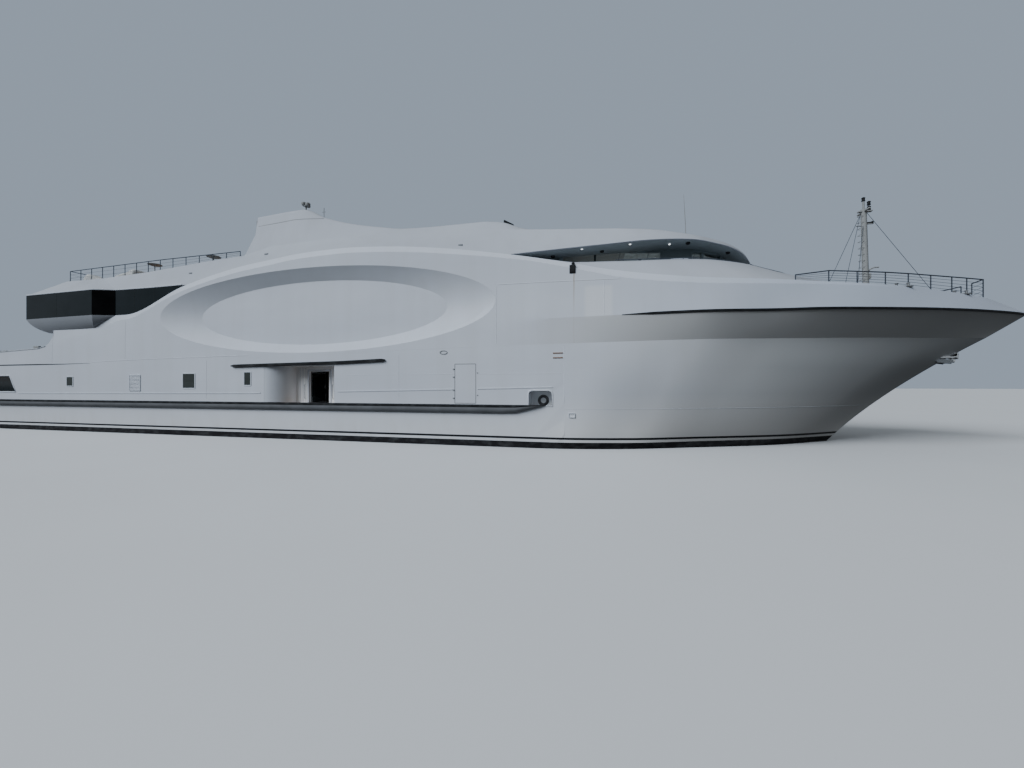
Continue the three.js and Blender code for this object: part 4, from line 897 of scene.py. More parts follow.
# Trunk: coachroof below the wheelhouse windows, with a soft top edge
trunkLook = {"from": 47.0, "to": 60.6, "columns": 110, "edge": 0.3, "taper": 0.45, "taperFrom": 56}
trunkX = np.linspace(trunkLook["from"], trunkLook["to"], trunkLook["columns"])
trunkFoot = starboard(shoulderLine, trunkX, seam)
trunkFoot[:, 1] += trunkLook["taper"] * np.clip((trunkX - trunkLook["taperFrom"])
                                                / (trunkLook["to"] - trunkLook["taperFrom"]), 0, 1)
trunkTop = stretched(trunkEdge, trunkLook["from"], np.linspace(0, 1, trunkLook["columns"]))
trunkRows = easedLevels([trunkFoot, trunkTop, inwards(trunkTop, 0.8, 0.02)], [trunkLook["edge"]])
makePiece("trunk_plating", lofted(trunkRows), "deckhouse", replaced=["trunk"], sharp=16,
          cutters=[bridgeSeat, bridgeWell])
print("deckhouse, visor and trunk made")

# Aft lounge: bowl-shaped soffit, dark glass band, and the sun deck that leans in above it
loungeLook = {"plan": [[11.2, 6.2], [17.75, 6.4], [19.0, 5.92]], "steps": 12,
              "neck": [[12.9, 5.9, 6.55], [17.3, 6.14, 6.72], [18.4, 6.0, 7.3]], "pull": [0.75, 0.8, 0.35]}
loungeRim = np.array([[x, -y, deck["saloon"]] for x, y in loungeLook["plan"]])
neck = np.array(loungeLook["neck"]) * portSide
neck[1:, 1] = -upperHalf(neck[1:, 0], neck[1:, 2], kneeRadius(neck[1:, 0])) + 0.012    # meets the side plating
rimRow, neckRow = cornered(loungeRim, loungeLook["steps"]), cornered(neck, loungeLook["steps"])
bowlControl = neckRow + (rimRow - neckRow) * loungeLook["pull"]
t = np.linspace(0, 1, 13)[:, None, None]
bowlRows = (1 - t) ** 2 * neckRow + 2 * t * (1 - t) * bowlControl + t ** 2 * (rimRow - [0, 0, seam])
bowlCut = [blockShape([13.6, -5.8, 4], [30, 5.8, 9], 0.001, 1),
           blockShape([0, -6.12, 0], [13.5, 6.12, 6.42], 0.001, 1)]
makePiece("lounge_bowl", lofted(bowlRows), "bowl", replaced=["lounge_soffit"], sharp=20, cutters=bowlCut)

foreX = np.linspace(24.75, 28.1994, 9)
bandLow = np.concatenate([loungeRim * [1, 1, 0] + [0, 0, deck["band"]], [[21.8, -5.88, deck["band"]]],
                          starboard(shoulderLine, foreX, seam)])
bandX = np.concatenate([[13.5, 16.2, 16.9, 20.6], foreX])
bandLow, bandTop = cornered(bandLow, 8), cornered(starboard(sunDeckEdge, bandX), 8)
bandRows = easedLevels([bandLow, bandTop, inwards(bandTop, 0.28)], [0.07])
sunWell = prismShape(mirroredPlan([[13.8, -5.0], [24, -5.0], [29, -4.7]]), deck["sun"], 12)
makePiece("sun_deck_plating", lofted(bandRows), "deckhouse", replaced=["sun_deck_block"], sharp=14,
          cutters=[sunWell])

glassPlan = cornered(loungeLook["plan"] + [[24.58, 5.86]], 24)
glassFoot = np.maximum(deck["saloon"], lineAt(shoulderLine, glassPlan[:, 0])[:, 1]) + seam
glassLow = np.column_stack([glassPlan * [1, -1], np.minimum(glassFoot, deck["band"] - 0.004)])
glassHigh = np.column_stack([glassPlan * [1, -1], np.full(len(glassPlan), deck["band"] - seam)])
makePiece("lounge_windows", lofted(np.stack([glassLow, glassHigh])), "loungeGlass", replaced=["lounge_glass"],
          sharp=10)
print("aft lounge made")

# Lines, mouldings and seams on the sides; runs break at the alcove and at the shell door
lineLook = {"sheer": (50.35, 69.66), "sheerHalf": 0.055, "stern": (4.75, 17.0), "sternHalf": 0.035,
            "proud": 0.018, "mouldingRuns": [(3.4, 4.9), (10.2, 30.5), (35.6, 42.2), (43.5, 47.2)],
            "mouldingHalf": 0.03, "mouldingProud": 0.022, "weldRuns": [(36.1, 42.2), (43.5, 47.7)],
            "weldHalf": 0.022, "weldProud": 0.003, "upright": (0.016, 0.006),
            "uprights": [(44.45, 5.0, 7.85), (49.56, 6.2, 7.8), (47.74, 2.2, 4.9), (39.2, 2.2, 4.7),
                         (20.1, 4.7, 7.0), (26.6, 2.2, 4.5), (13.5, 4.5, 7.3)]}
sheerX, sternX = np.linspace(*lineLook["sheer"], 110), np.linspace(*lineLook["stern"], 50)
sheerHalf = lineLook["sheerHalf"] * np.clip((sheerX - 50.1) / 1.6, 0.2, 1)
sternHalf = lineLook["sternHalf"] * np.clip((17.05 - sternX) / 5, 0.05, 1)
pair("sheer_line", [sideBand(starboard(upperKnuckle, sheerX), sheerHalf, lineLook["proud"]),
                    sideBand(starboard(lowerKnuckle, sternX, 0.02), sternHalf, lineLook["proud"])], "black")


# Level band on the side between two places, at heights read from a short table
def heightBand(start, end, count, heights, half, proud):
    x = np.linspace(start, end, count)
    return sideBand(onSide(x, np.interp(x, *np.transpose(heights))), half, proud)


mouldingHeights = [(0, 2.42), (30, 2.55), (42, 2.78), (47.2, 2.9)]
seams = [heightBand(a, b, 24, mouldingHeights, lineLook["mouldingHalf"], lineLook["mouldingProud"])
         for a, b in lineLook["mouldingRuns"]]
weldRow = bowRows[int(np.argmin(np.abs(bowRows[:, 0, 2] - 1.93)))]
seams.append(sideBand(weldRow[:-3], 0.014, lineLook["weldProud"]))
seams += [heightBand(a, b, 16, [(a, 3.55), (b, 3.55)], lineLook["weldHalf"], lineLook["weldProud"])
          for a, b in lineLook["weldRuns"]]
seams.append(heightBand(17.2, 29.6, 50, [(17.1, 4.52), (21.4, 4.62), (28.35, 4.71), (29.6, 4.72)],
                        0.022, 0.008))
seams.append(heightBand(44.5, 50.28, 20, [(44.4, 7.9), (50.28, 7.83)], 0.02, 0.008))
seams += [bandShape(onSide(np.full(14, x), np.linspace(low, high, 14)), [0, -1, 0], [1, 0, 0],
                    *lineLook["upright"]) for x, low, high in lineLook["uprights"]]
pair("plate_seams", seams, "white", sharp=40)

# Rub strake: a black rubber cap over a rounded underside that tapers into the hull at both ends, its dark grey
# painted shade under the cap; its sections are [share of reach, height]
strakeLook = {"from": 3.0, "to": 46.9, "aftEnd": 0.6, "foreEnd": 1.5, "reach": 0.24, "top": 2.05,
              "foreRamp": 1.6, "sunk": 0.03, "gap": 0.019, "belly": (0.94, 1.92, 0.30)}
strakeFrom, strakeTo = strakeLook["from"], strakeLook["to"]
strakeX = np.concatenate([np.linspace(strakeFrom, 3.6, 10), np.linspace(3.6, 45.4, 60)[1:],
                          np.linspace(45.4, strakeTo, 14)[1:]])
fullness = np.clip(np.minimum((strakeX - strakeFrom) / strakeLook["aftEnd"],
                              (strakeTo - strakeX) / strakeLook["foreEnd"]), 0, 1)
fullness = np.sqrt(fullness * (2 - fullness)) * strakeLook["reach"]
capRing = np.array([[-0.03, 2.05], [0.72, 2.05], [1.0, 2.035], [1.04, 1.985], [1.0, 1.93], [0.8, 1.915],
                    [-0.03, 1.915]])
bellyReach, bellyTop, bellyDrop = strakeLook["belly"]
bellyTurn = np.linspace(0, np.pi / 2, 9)
bellyArc = np.column_stack([bellyReach * np.cos(bellyTurn), bellyTop - bellyDrop * np.sin(bellyTurn)])
bellyRing = np.vstack([[[-0.03, bellyTop]], bellyArc, [[-0.03, bellyTop - bellyDrop]]])


# Starboard bar with such a section, its reach changing along the ship and its fore end ramped up
def reachBar(section):
    drop = np.clip((strakeTo - strakeX) / strakeLook["foreRamp"], 0.06, 1)[:, None]
    rings = np.stack([np.broadcast_to(strakeX[:, None], (len(strakeX), len(section))),
                      -halfBeam - strakeLook["gap"] - section[:, 0] * fullness[:, None],
                      strakeLook["top"] - (strakeLook["top"] - section[:, 1]) * drop], -1)
    rings[:, 0, 1] = rings[:, -1, 1] = -halfBeam + strakeLook["sunk"]
    return ringBody(rings)


pair("strake_cap", reachBar(capRing), "rubber", replaced="rub_strake")
pair("strake_body", reachBar(bellyRing), "strakeGrey")

# Windows, vents and small fittings of the flat side; boxes are x0, x1, z0, z1
sideWindows = {"small": (14.9, 15.5, 2.95, 3.58), "square": (24.8, 25.75, 2.81, 3.72),
               "narrow": (29.35, 29.84, 2.98, 3.77)}
windowLoops = [roundedLoop(*box, 0.05) for box in sideWindows.values()]
pair("side_window_frames", [frameShape(loop, -halfBeam, 0.035, 0.02) for loop in windowLoops], "white")
pair("side_window_bar", barSet([([24.82, -halfBeam - 0.006, 3.27], [25.73, -halfBeam - 0.006, 3.27])],
                               0.012, 0.004), "black")
pair("side_window_panes", [prismShape(loop, -halfBeam - 0.006, -halfBeam + 0.02, "xz", 0.002)
                           for loop in windowLoops], "sideGlass")

louvre = {"box": (20.5, 21.4, 2.65, 3.65), "slats": 11, "slatHalf": 0.035, "margin": 0.04}
louvreAft, louvreFore, louvreLow, louvreHigh = louvre["box"]
slatEnds = [([louvreAft + louvre["margin"], -halfBeam, z], [louvreFore - louvre["margin"], -halfBeam, z])
            for z in np.linspace(louvreLow + 0.09, louvreHigh - 0.07, louvre["slats"])]
louvreLoop = roundedLoop(*louvre["box"], 0.04)
pair("side_louvre", [frameShape(louvreLoop, -halfBeam, 0.03, 0.03),
                     *barSet(slatEnds, louvre["slatHalf"], 0.02, [0, -0.8, 0.6], [0, 0.6, 0.8])], "white")
pair("louvre_back", prismShape(louvreLoop, -halfBeam - 0.004, -halfBeam + 0.02, "xz", 0.001), "grey")

pair("slot_vent", [bandShape(onSide([47.22, 47.68], z), [0, -1, 0], [0, 0, 1], 0.03, 0.022)
                   for z in (4.28, 4.5)], "rustyTrim")
ovalLoop = [41.7, 4.64] + np.column_stack([np.cos(turnOf(24)), np.sin(turnOf(24))]) * [0.19, 0.085]
pair("oval_port", frameShape(ovalLoop, -halfBeam, 0.025, 0.02), "steel")
pair("scupper", frameShape(roundedLoop(47.96, 48.24, 1.49, 1.68, 0.03), -6.09, 0.022, 0.025, 0.05), "white")

# Shell door: a gasket line round the leaf, hinge knuckles down its aft edge and flush handles
doorLoop = roundedLoop(42.3, 43.4, 2.1, 4.05, 0.02)
pair("shell_door_gasket", frameShape(doorLoop, -halfBeam - 0.0005, 0.018, 0.006, 0.004), "seamGrey")
hinges = barSet([([42.2, -halfBeam, z], [42.28, -halfBeam, z]) for z in (2.35, 2.75, 3.4, 3.8)], 0.03, 0.03)
handles = barSet([([43.46, -halfBeam, z], [43.52, -halfBeam, z]) for z in (2.5, 3.6)], 0.025, 0.02)
pair("shell_door_hinges", hinges + handles, "seamGrey")

# Mooring pocket: a raised white lip round it, and a rubber ring on its floor
pocketLoop = np.array([[46.04, 2.0], [47.2, 2.0], [47.2, 2.58], [47.15, 2.7], [47.03, 2.75], [46.21, 2.75],
                       [46.09, 2.7], [46.04, 2.58]])
pair("pocket_lip", frameShape(pocketLoop, -halfBeam, 0.035, 0.02), "white", sharp=60)
pair("fairlead_ring", tubeShape(ringAt([46.75, -5.98, 2.2706], 0.2, 40), 0.07, 14, True), "rubber",
     replaced="fairlead")

# Side lights: screen box with a lens, on a bracket, above the shoulder
sideLight = [blockShape([47.99, -6.1, 8.2], [48.27, -5.76, 8.6], 0.02),
             *blockSet([([47.94, -5.84, 8.17], [48.02, -5.74, 8.66]),
                        ([48.0, -6.06, 8.13], [48.24, -5.72, 8.21])], 0.01),
             latheShape([[0.07, 0], [0.08, 0.02], [0.08, 0.15], [0.06, 0.17], [0.02, 0.18]],
                        [48.15, -5.93, 8.58], 18)]
pair("side_lamp", sideLight, "black", replaced="side_light")
pair("small_side_lamps", blockSet([([x - 0.12, y - 0.05, z - 0.05], [x + 0.12, y + 0.05, z + 0.06])
                                   for x, y, z in ((24.64, -5.5, 9.93), (30.06, -5.27, 10.77),
                                                   (42.39, -5.55, 10.17))], 0.03), "grey")
print("side fittings made")

# Hull side round each boarding alcove: aft of the door the side sweeps inboard in a quarter ellipse
alcove = {"from": 30.6, "to": 35.9994, "sweepAft": 30.62, "sweepFore": 31.86, "fore": 35.35, "wall": 4.9,
          "head": 4.08, "lobbyHead": 4.0}
alcoveX = np.linspace(alcove["from"], alcove["to"], 14)
alcoveRows = np.stack([starboard(waterLine, alcoveX, seam), starboard(topsideLine, alcoveX),
                       starboard(lowerKnuckle, alcoveX)])
sweep = np.linspace(0.1, np.pi / 2, 28)
sweepPath = np.column_stack([alcove["sweepAft"] + (alcove["sweepFore"] - alcove["sweepAft"]) * np.sin(sweep),
                             -halfBeam + (halfBeam - alcove["wall"]) * (1 - np.cos(sweep))])
alcovePlan = np.vstack([[sweepPath[0, 0], -7], sweepPath, [alcove["fore"], -alcove["wall"]],
                        [alcove["fore"], -7]])
alcoveCuts = [prismShape(alcovePlan, deck["main"], alcove["head"]),
              prismShape([[32.73, -5.2], [34.07, -5.2], [34.07, -4.6], [32.73, -4.6]], 1.91, 3.81),
              prismShape([[32.4, -4.75], [35.1, -4.75], [35.1, -2.6], [32.4, -2.6]], deck["main"],
                         alcove["lobbyHead"])]
makePiece("boarding_plating", lofted(alcoveRows), "hull", replaced=["hull_boarding_block"], sharp=24,
          cutters=alcoveCuts + [mirrored(cut) for cut in alcoveCuts])

# Walnut panels in the lobby behind the door, with battens between them
lobbyLook = {"low": 1.9, "high": 3.96, "battens": np.linspace(32.7, 34.8, 6)}
lobbyLow, lobbyHigh = lobbyLook["low"], lobbyLook["high"]
lobbyWalls = blockSet([([32.46, -2.65, lobbyLow], [35.04, -2.605, lobbyHigh]),
                       ([32.405, -4.7, lobbyLow], [32.44, -2.7, lobbyHigh]),
                       ([35.06, -4.7, lobbyLow], [35.095, -2.7, lobbyHigh])], 0.008)
lobbyWalls += blockSet([([x - 0.02, -2.68, lobbyLow], [x + 0.02, -2.64, lobbyHigh])
                        for x in lobbyLook["battens"]], 0.005)
pair("lobby_panels", lobbyWalls, "walnut")

# Terrace lobby behind the sliding doors: walnut panels on three walls and a strip of light overhead
terraceLobby = {"aft": 13.62, "fore": 15.5, "half": 1.2, "bottom": 4.56, "top": 6.25, "panels": 3,
                "gap": 0.02, "edge": 0.012}
lobbyGap, lobbyBottom, lobbyTop = (terraceLobby[key] for key in ("gap", "bottom", "top"))
acrossEdges = np.linspace(-terraceLobby["half"], terraceLobby["half"], terraceLobby["panels"] + 1)
alongEdges = np.linspace(terraceLobby["aft"], terraceLobby["fore"], terraceLobby["panels"] + 1)
lobbyBack = blockSet([([15.52, low + lobbyGap, lobbyBottom], [15.58, high - lobbyGap, lobbyTop])
                      for low, high in zip(acrossEdges[:-1], acrossEdges[1:])], terraceLobby["edge"])
lobbySides = blockSet([([low + lobbyGap, -1.24, lobbyBottom], [high - lobbyGap, -1.2, lobbyTop])
                       for low, high in zip(alongEdges[:-1], alongEdges[1:])], terraceLobby["edge"])
makePiece("terrace_lobby_walls", [*lobbyBack, bothSides(joined(*lobbySides))], "walnut")
makePiece("terrace_lobby_lamp", blockShape([13.9, -0.06, 6.31], [15.2, 0.06, 6.344], 0.012), "lamp")

# Boarding alcove: door frame, battens, ceiling lights and grab rails
boardTrim = [frameShape(roundedLoop(32.67, 34.2, 1.9, 3.86, 0.03), -alcove["wall"], 0.06, 0.035),
             frameShape(roundedLoop(34.42, 34.7, 2.6, 3.3, 0.05), -alcove["wall"], 0.02, 0.02),
             *barSet([([x, -alcove["wall"], 1.95], [x, -alcove["wall"], 4.03]) for x in (32.1, 32.3, 32.5)],
                     0.014, 0.01, across=[1, 0, 0])]
pair("alcove_trim", boardTrim, "white")
pair("alcove_lamps", latheSet([[0.001, 0.0], [0.07, 0.0], [0.085, 0.015], [0.085, 0.04]],
                              [[x, -5.5, 4.045] for x in (32.15, 33.4, 34.65)], 20), "dome")
pair("alcove_rails", [tubeShape([[x, -4.89, 2.2], [x, -4.97, 2.26], [x, -4.97, 3.02], [x, -4.89, 3.08]],
                                0.018) for x in (32.45, 34.36)], "steel")

# Rounded rubber bar over each alcove, tapered at both ends
barX = np.linspace(28.52, 38.42, 60)
barHalf = 0.085 * np.sqrt(np.clip(np.minimum(barX - 28.46, 38.48 - barX) / 0.25, 0.1, 1))
barHeight = np.interp(barX, [28.5, 35.7, 38.4], [4.12, 4.22, 4.31])
barPath = np.column_stack([barX, np.full(60, -halfBeam), barHeight])
pair("gangway_bar", sideBand(barPath, barHalf, 0.12), "rubber", replaced="gangway_rub_rail", sharp=50)

# Lounge glazing: black facet, mullions, and the lip along the sun deck over the band
pair("sun_deck_lip", sideBand(bandLow[bandLow[:, 0] < 24.4] + [0, 0, 0.045], 0.04, 0.018), "white", sharp=50)
facetEnds = [([17.74, -6.402, 8.3], [18.98, -5.93, 8.3])]
pair("lounge_facet", barSet(facetEnds, 0.795, 0.012, [0.358, -0.933, 0], sink=0.03), "facet", sharp=20)
mullionX = [14.3, 20.6, 22.2]
mullionY = np.interp(mullionX, glassPlan[:, 0], -glassPlan[:, 1])
mullionFoot = np.interp(mullionX, glassLow[:, 0], glassLow[:, 2])
pair("lounge_mullions", barSet([([x, y, foot + 0.01], [x, y, 9.09])
                                for x, y, foot in zip(mullionX, mullionY, mullionFoot)], 0.012, 0.005,
                               across=[1, 0, 0]), "black")
makePiece("lounge_aft_mullions", barSet([([11.2, y, 7.51], [11.2, y, 9.09]) for y in np.linspace(-5, 5, 9)],
                                        0.02, 0.008, [-1, 0, 0], [0, 1, 0]), "black")
print("alcove and lounge trim made")

# Wheelhouse: lamps and fittings under the soffit
pair("soffit_lamps", latheSet([[0.001, -0.035], [0.035, -0.035], [0.05, -0.02], [0.05, 0.03]],
                              [(48.51, -5.12, 9.64), (50.78, -4.78, 9.80), (52.68, -4.0, 9.92)], 18), "lamp")
pair("soffit_fittings", latheSet([[0.001, -0.10], [0.08, -0.09], [0.11, -0.03], [0.11, 0.04]],
                                 [(47.04, -4.72, 9.54), (49.46, -4.44, 9.70), (53.55, -3.88, 9.96),
                                  (55.77, -2.26, 9.86)], 18), "black")

# Wheelhouse wall with its window band, the lining inside, and the gear round it
bridgeLook = {"wall": 0.12, "low": 9.12, "high": 9.80, "aftWindow": (47.5, 49.1, 52.35),
              "foreWindow": (53.95, 54.42),
              "posts": [(49.1, -3.88), (54.45, -2.5), (55.45, -1.8), (56.0, -0.85)]}


# Starboard opening through the wall, along the plan of the wheelhouse between given places
def windowCutter(*x):
    points = np.column_stack([x, np.interp(x, bridgeHalf[:, 0], bridgeHalf[:, 1])])
    return prismShape(np.concatenate([points - [0, 0.35], (points + [0, 0.35])[::-1]]), bridgeLook["low"],
                      bridgeLook["high"])


windowCuts = [windowCutter(*bridgeLook[key]) for key in ("aftWindow", "foreWindow")]
noseCut = prismShape([[54.55, -3.2], [57.5, -3.2], [57.5, 3.2], [54.55, 3.2], [54.55, 2.1], [55.4, 1.75],
                      [55.95, 0.95], [55.95, -0.95], [55.4, -1.75], [54.55, -2.1]], bridgeLook["low"],
                     bridgeLook["high"])
wallRoom = prismShape(inset(bridgePlan, bridgeLook["wall"]), 8, 11)
makePiece("wheelhouse_shell", prismShape(bridgePlan, deck["sill"] + seam, deck["ceiling"] - seam), "wallGrey",
          replaced=["wheelhouse_wall"],
          cutters=[wallRoom, *(part for cut in windowCuts for part in (cut, mirrored(cut))), noseCut])
pair("wheelhouse_posts", blockSet([([x - 0.05, y - 0.05, 9.1], [x + 0.05, y + 0.05, 9.82])
                                   for x, y in bridgeLook["posts"]], 0.015), "teal")
makePiece("bridge_floor", prismShape(inset(bridgePlan, 0.36), deck["bridge"] + seam, deck["bridge"] + 0.03),
          "beige")
liningHalf = np.array([[50.6, -3.3], [53.2, -2.75], [54.6, -1.95], [55.4, -1.2]])
makePiece("bridge_headlining", prismShape(np.concatenate([liningHalf, [[55.7, 0]],
                                                           liningHalf[::-1] * [1, -1]]), 9.84, 9.9, ease=0.01),
          "headlining")
console = prismShape([[54.6, 7.94], [55.05, 7.94], [55.1, 9.02], [54.95, 9.2], [54.2, 8.95], [54.25, 8.8],
                      [54.6, 8.75]], -1.7, 1.7, "xz", 0.02)
helmSeats = [joined(*blockSet([([52.7, y - 0.32, 8.5], [53.3, y + 0.32, 8.66]),
                               ([52.62, y - 0.32, 8.6], [52.78, y + 0.32, 9.42])], 0.06),
                    latheShape([[0.22, 7.93], [0.2, 7.98], [0.06, 8.02], [0.06, 8.5], [0.18, 8.52]],
                               [53.0, y, 0], 20)) for y in (-1.0, 1.0)]
makePiece("bridge_console", [console, *helmSeats], "cushion")
makePiece("bridge_screens", [prismShape([[54.32, 8.99], [54.88, 9.17], [54.86, 9.2], [54.3, 9.02]],
                                        y - 0.3, y + 0.3, "xz", 0.005) for y in (-1.3, -0.65, 0, 0.65, 1.3)],
          "darkGlass")
bridgeSofa = [joined(blockShape([48.6, side * 2.9 - 0.4, 7.94], [51.2, side * 2.9 + 0.4, 8.4], 0.08),
                     blockShape([48.6, side * 3.25 - 0.1, 8.3], [51.2, side * 3.25 + 0.1, 9.3], 0.06))
              for side in (-1, 1)]
lockers = blockSet([([47.85, y - 0.2, 8.72], [49.0, y + 0.2, 9.32]) for y in (-3.6, 3.6)], 0.03)
curtainX = np.linspace(49.6, 52.2, 60)
curtainY = 3.02 - 0.03 * np.sin(np.linspace(0, 60, 60)) - (curtainX - 52.2) * 0.2    # sine folds along a slant
curtains = [prismShape(np.concatenate([np.column_stack([curtainX, curtainY * side]),
                                       np.column_stack([curtainX, (curtainY + 0.03) * side])[::-1]]), 9.0, 9.42)
            for side in (-1, 1)]
makePiece("bridge_seating", [*bridgeSofa, *lockers, *curtains], "beige")
helmCentre = np.array([54.1, 0, 8.9])
spokes = [(helmCentre, helmCentre + [0, 0.28 * math.cos(a), 0.28 * math.sin(a)]) for a in (0.5, 2.6, 4.7)]
makePiece("helm_wheel", [tubeShape(ringAt(helmCentre, 0.28, 36, "yz"), 0.02, 8, True),
                         *rodSet(spokes, 0.012, 8), rodShape([54.06, 0, 8.9], [54.4, 0, 8.86], 0.03, 12)],
          "steel")

# Wipers, a low rail along the trunk top with its stanchions, and the boxes beside it
railX = np.linspace(50.1, 57.0, 40)
trunkCrest = stretched(trunkEdge, 47, (railX - 47) / (trunkEdge[-1][0] - 47))
crestRail = trunkCrest + [0, 0.42, 0.14]
wipers = [([x, y, 9.1], [x + 0.15, y + 0.02, 9.7]) for x, y in ((50.2, -3.86), (51.6, -3.52), (53.9, -2.92))]
pair("trunk_rail", [tubeShape(crestRail, 0.022), *rodSet([(top - [0, 0, 0.3], top) for top in crestRail[::6]],
                                                         0.02, 8), *rodSet(wipers, 0.012, 6)], "railSteel")
pair("trunk_lockers", blockShape([52.75, -3.95, 8.95], [53.55, -3.55, 9.22], 0.03), "white")
pair("trunk_vents", blockSet([([51.9, -4.15, 9.0], [52.5, -3.9, 9.13]),
                              ([51.2, -4.3, 9.0], [51.35, -4.1, 9.22])]), "black")
nosePath = np.array([[57.15, -0.9, 9.6], [57.35, -1.05, 9.42], [57.8, -1.25, 9.18], [58.5, -1.45, 8.86],
                     [59.3, -1.6, 8.4]])
nosePosts = [(nosePath[2], nosePath[2] - [0, 0, 0.33]), (nosePath[3], nosePath[3] - [0, 0, 0.36])]
pair("nose_rail", [tubeShape(nosePath, 0.022), *rodSet(nosePosts, 0.016, 8)], "railSteel")
whip = [tubeShape([[53.98, -1.2, 10.35], [53.92, -1.2, 12.0], [53.84, -1.2, 13.55]], [0.028, 0.02, 0.008]),
        latheShape([[0.07, 0], [0.07, 0.05], [0.04, 0.09], [0.035, 0.2]], [53.98, -1.2, 10.42], 16)]
makePiece("whip_aerial", whip, "mastGrey", replaced=["whip_antenna"])
makePiece("sky_deck_screen", prismShape([[44.1, 11.6], [44.1, 12.2], [44.15, 12.23], [44.66, 11.94],
                                         [44.7, 11.6]], -3.35, 3.35, "xz", 0.02), "darkGlass")
print("wheelhouse made")


# Rail: round posts with a foot plate under a round top rail, and thin wires between them
def railShape(feet, tops, radius, wires, wireRadius):
    feet, tops = np.asarray(feet, float), np.asarray(tops, float)
    parts = [tubeShape(tops, radius, 10)]
    for foot, top in zip(feet, tops):
        parts.append(rodShape(foot - [0, 0, 0.12], top, radius * 0.85, 10))
        parts.append(latheShape([[radius * 2.2, 0], [radius * 2.2, 0.02], [radius * 1.2, 0.04]], foot, 14))
    shares = np.arange(1, wires + 1) / (wires + 1)
    return joined(*parts, *[tubeShape(feet + (tops - feet) * share, wireRadius, 6) for share in shares])


bowPosts = np.array([59.35, 60.62, 61.92, 63.05, 64.23, 65.37, 66.2, 67.15])
bowFeet = starboard(shoulderLine, bowPosts)
bowFeet[:, 1] = np.minimum(bowFeet[:, 1] + 0.13, -0.35)
bowTops = np.column_stack([bowPosts, bowFeet[:, 1], np.interp(bowPosts, [59.35, 67.15], [8.12, 8.03])])
bowFeet = np.vstack([[57.9, -4.47, 7.64], bowFeet, [67.3, -0.3, 7.02]])
bowTops = np.vstack([[57.9, -4.47, 7.93], bowTops, [67.3, -0.3, 8.03]])
pair("bow_railing", railShape(bowFeet, bowTops, 0.028, 4, 0.008), "railSteel", replaced="bow_rail")

sunRail = {"from": 13.56, "step": 1.02, "posts": 15, "half": 5.2, "top": 10.9, "rise": 0.0225,
           "aftY": (-0.02, -1.75, -3.5)}
deckPosts = sunRail["from"] + sunRail["step"] * np.arange(sunRail["posts"])
deckHalf = sunRail["half"] - np.maximum(0, deckPosts - 22) * 0.038
deckFeet = np.column_stack([deckPosts, -deckHalf, lineAt(sunDeckEdge, deckPosts)[:, 1] + 0.005])
deckTops = np.column_stack([deckPosts, -deckHalf, sunRail["top"] + sunRail["rise"] * (deckPosts - 13.5)])
aftRow = np.array([[sunRail["from"], y, 10.21] for y in sunRail["aftY"]])
aftTops = aftRow * [1, 1, 0] + [0, 0, sunRail["top"]]
pair("sun_deck_railing", railShape(np.concatenate([aftRow, deckFeet]), np.concatenate([aftTops, deckTops]),
                                   0.026, 2, 0.006), "railSteel", replaced="sun_deck_rail")

# Foremast: tapered pole with rungs, crosstree, lamps and stays
mastLook = {"foot": (63.07, 0, 6.6005), "top": (62.92, 0, 12.3), "levels": (6.6005, 8.5, 10.5, 12.3),
            "radii": [0.14, 0.138, 0.132, 0.125], "rungs": np.arange(7.2, 12.0, 0.34)}
mastFoot, mastTop = np.array(mastLook["foot"]), np.array(mastLook["top"])


# Place at a height on the mast's axis, moved ahead or sideways
def onMast(z, ahead=0.0, side=0.0):
    point = mastFoot + (mastTop - mastFoot) * (z - mastFoot[2]) / (mastTop[2] - mastFoot[2])
    return point + [ahead, side, 0]


mastParts = [tubeShape([onMast(z) for z in mastLook["levels"]], mastLook["radii"], 24),
             latheShape([[0.3, 0], [0.3, 0.04], [0.2, 0.08], [0.16, 0.3]], mastFoot, 28),
             blockShape(onMast(12.15, -0.26, -0.09), onMast(12.2, 0.22, 0.09) + [0.15, 0, 0.02], 0.015),
             blockShape(onMast(12.15, -0.05, -0.5), onMast(12.2, 0.05, 0.5) + [0, 0, 0.02], 0.015),
             rodShape(onMast(12.2), onMast(12.85), 0.05, 14),
             *blockSet([(onMast(11.42, -0.36, -0.04), onMast(11.46, -0.05, 0.04)),
                        (onMast(11.5, 0.05, -0.04), onMast(11.54, 0.42, 0.04))], 0.01),
             tubeShape([onMast(8.98, 0.1), onMast(9.14, 0.24), onMast(9.2, 0.4), onMast(9.2, 0.6)], 0.035, 10),
             blockShape(onMast(8.62, 0.1, -0.07), onMast(8.9, 0.23, 0.07), 0.02)]
rungEnds = ((-0.1, -0.14), (-0.24, -0.12), (-0.24, 0.12), (-0.1, 0.14))
mastParts += [tubeShape([onMast(z, ahead, side) for ahead, side in rungEnds], 0.012, 6)
              for z in mastLook["rungs"]]
makePiece("foremast_pole", mastParts, "mastGrey", replaced=["foremast"])
stayEnds = [([66.7, 0, 6.6], onMast(12.12, 0.14)), ([61.1, 1.4, 6.6], onMast(12.1, -0.12)),
            ([61.8, -1.4, 6.6], onMast(11.4, -0.1, -0.1)), ([61.1, -1.4, 6.6], onMast(12.1, -0.14))]
stays = rodSet(stayEnds, 0.012, 6)
for start, end in np.array(stayEnds):
    stays.append(rodShape(start + unit(end - start) * 0.15, start + unit(end - start) * 0.55, 0.026, 10))
makePiece("foremast_stays", stays, "railSteel")
mastLamps = latheSet([[0.03, 0], [0.085, 0.015], [0.085, 0.05], [0.07, 0.06], [0.07, 0.15],
                      [0.085, 0.16], [0.085, 0.19], [0.03, 0.23]],
                     [onMast(12.72), onMast(12.24, 0.24), onMast(12.5, 0.24)], 20)
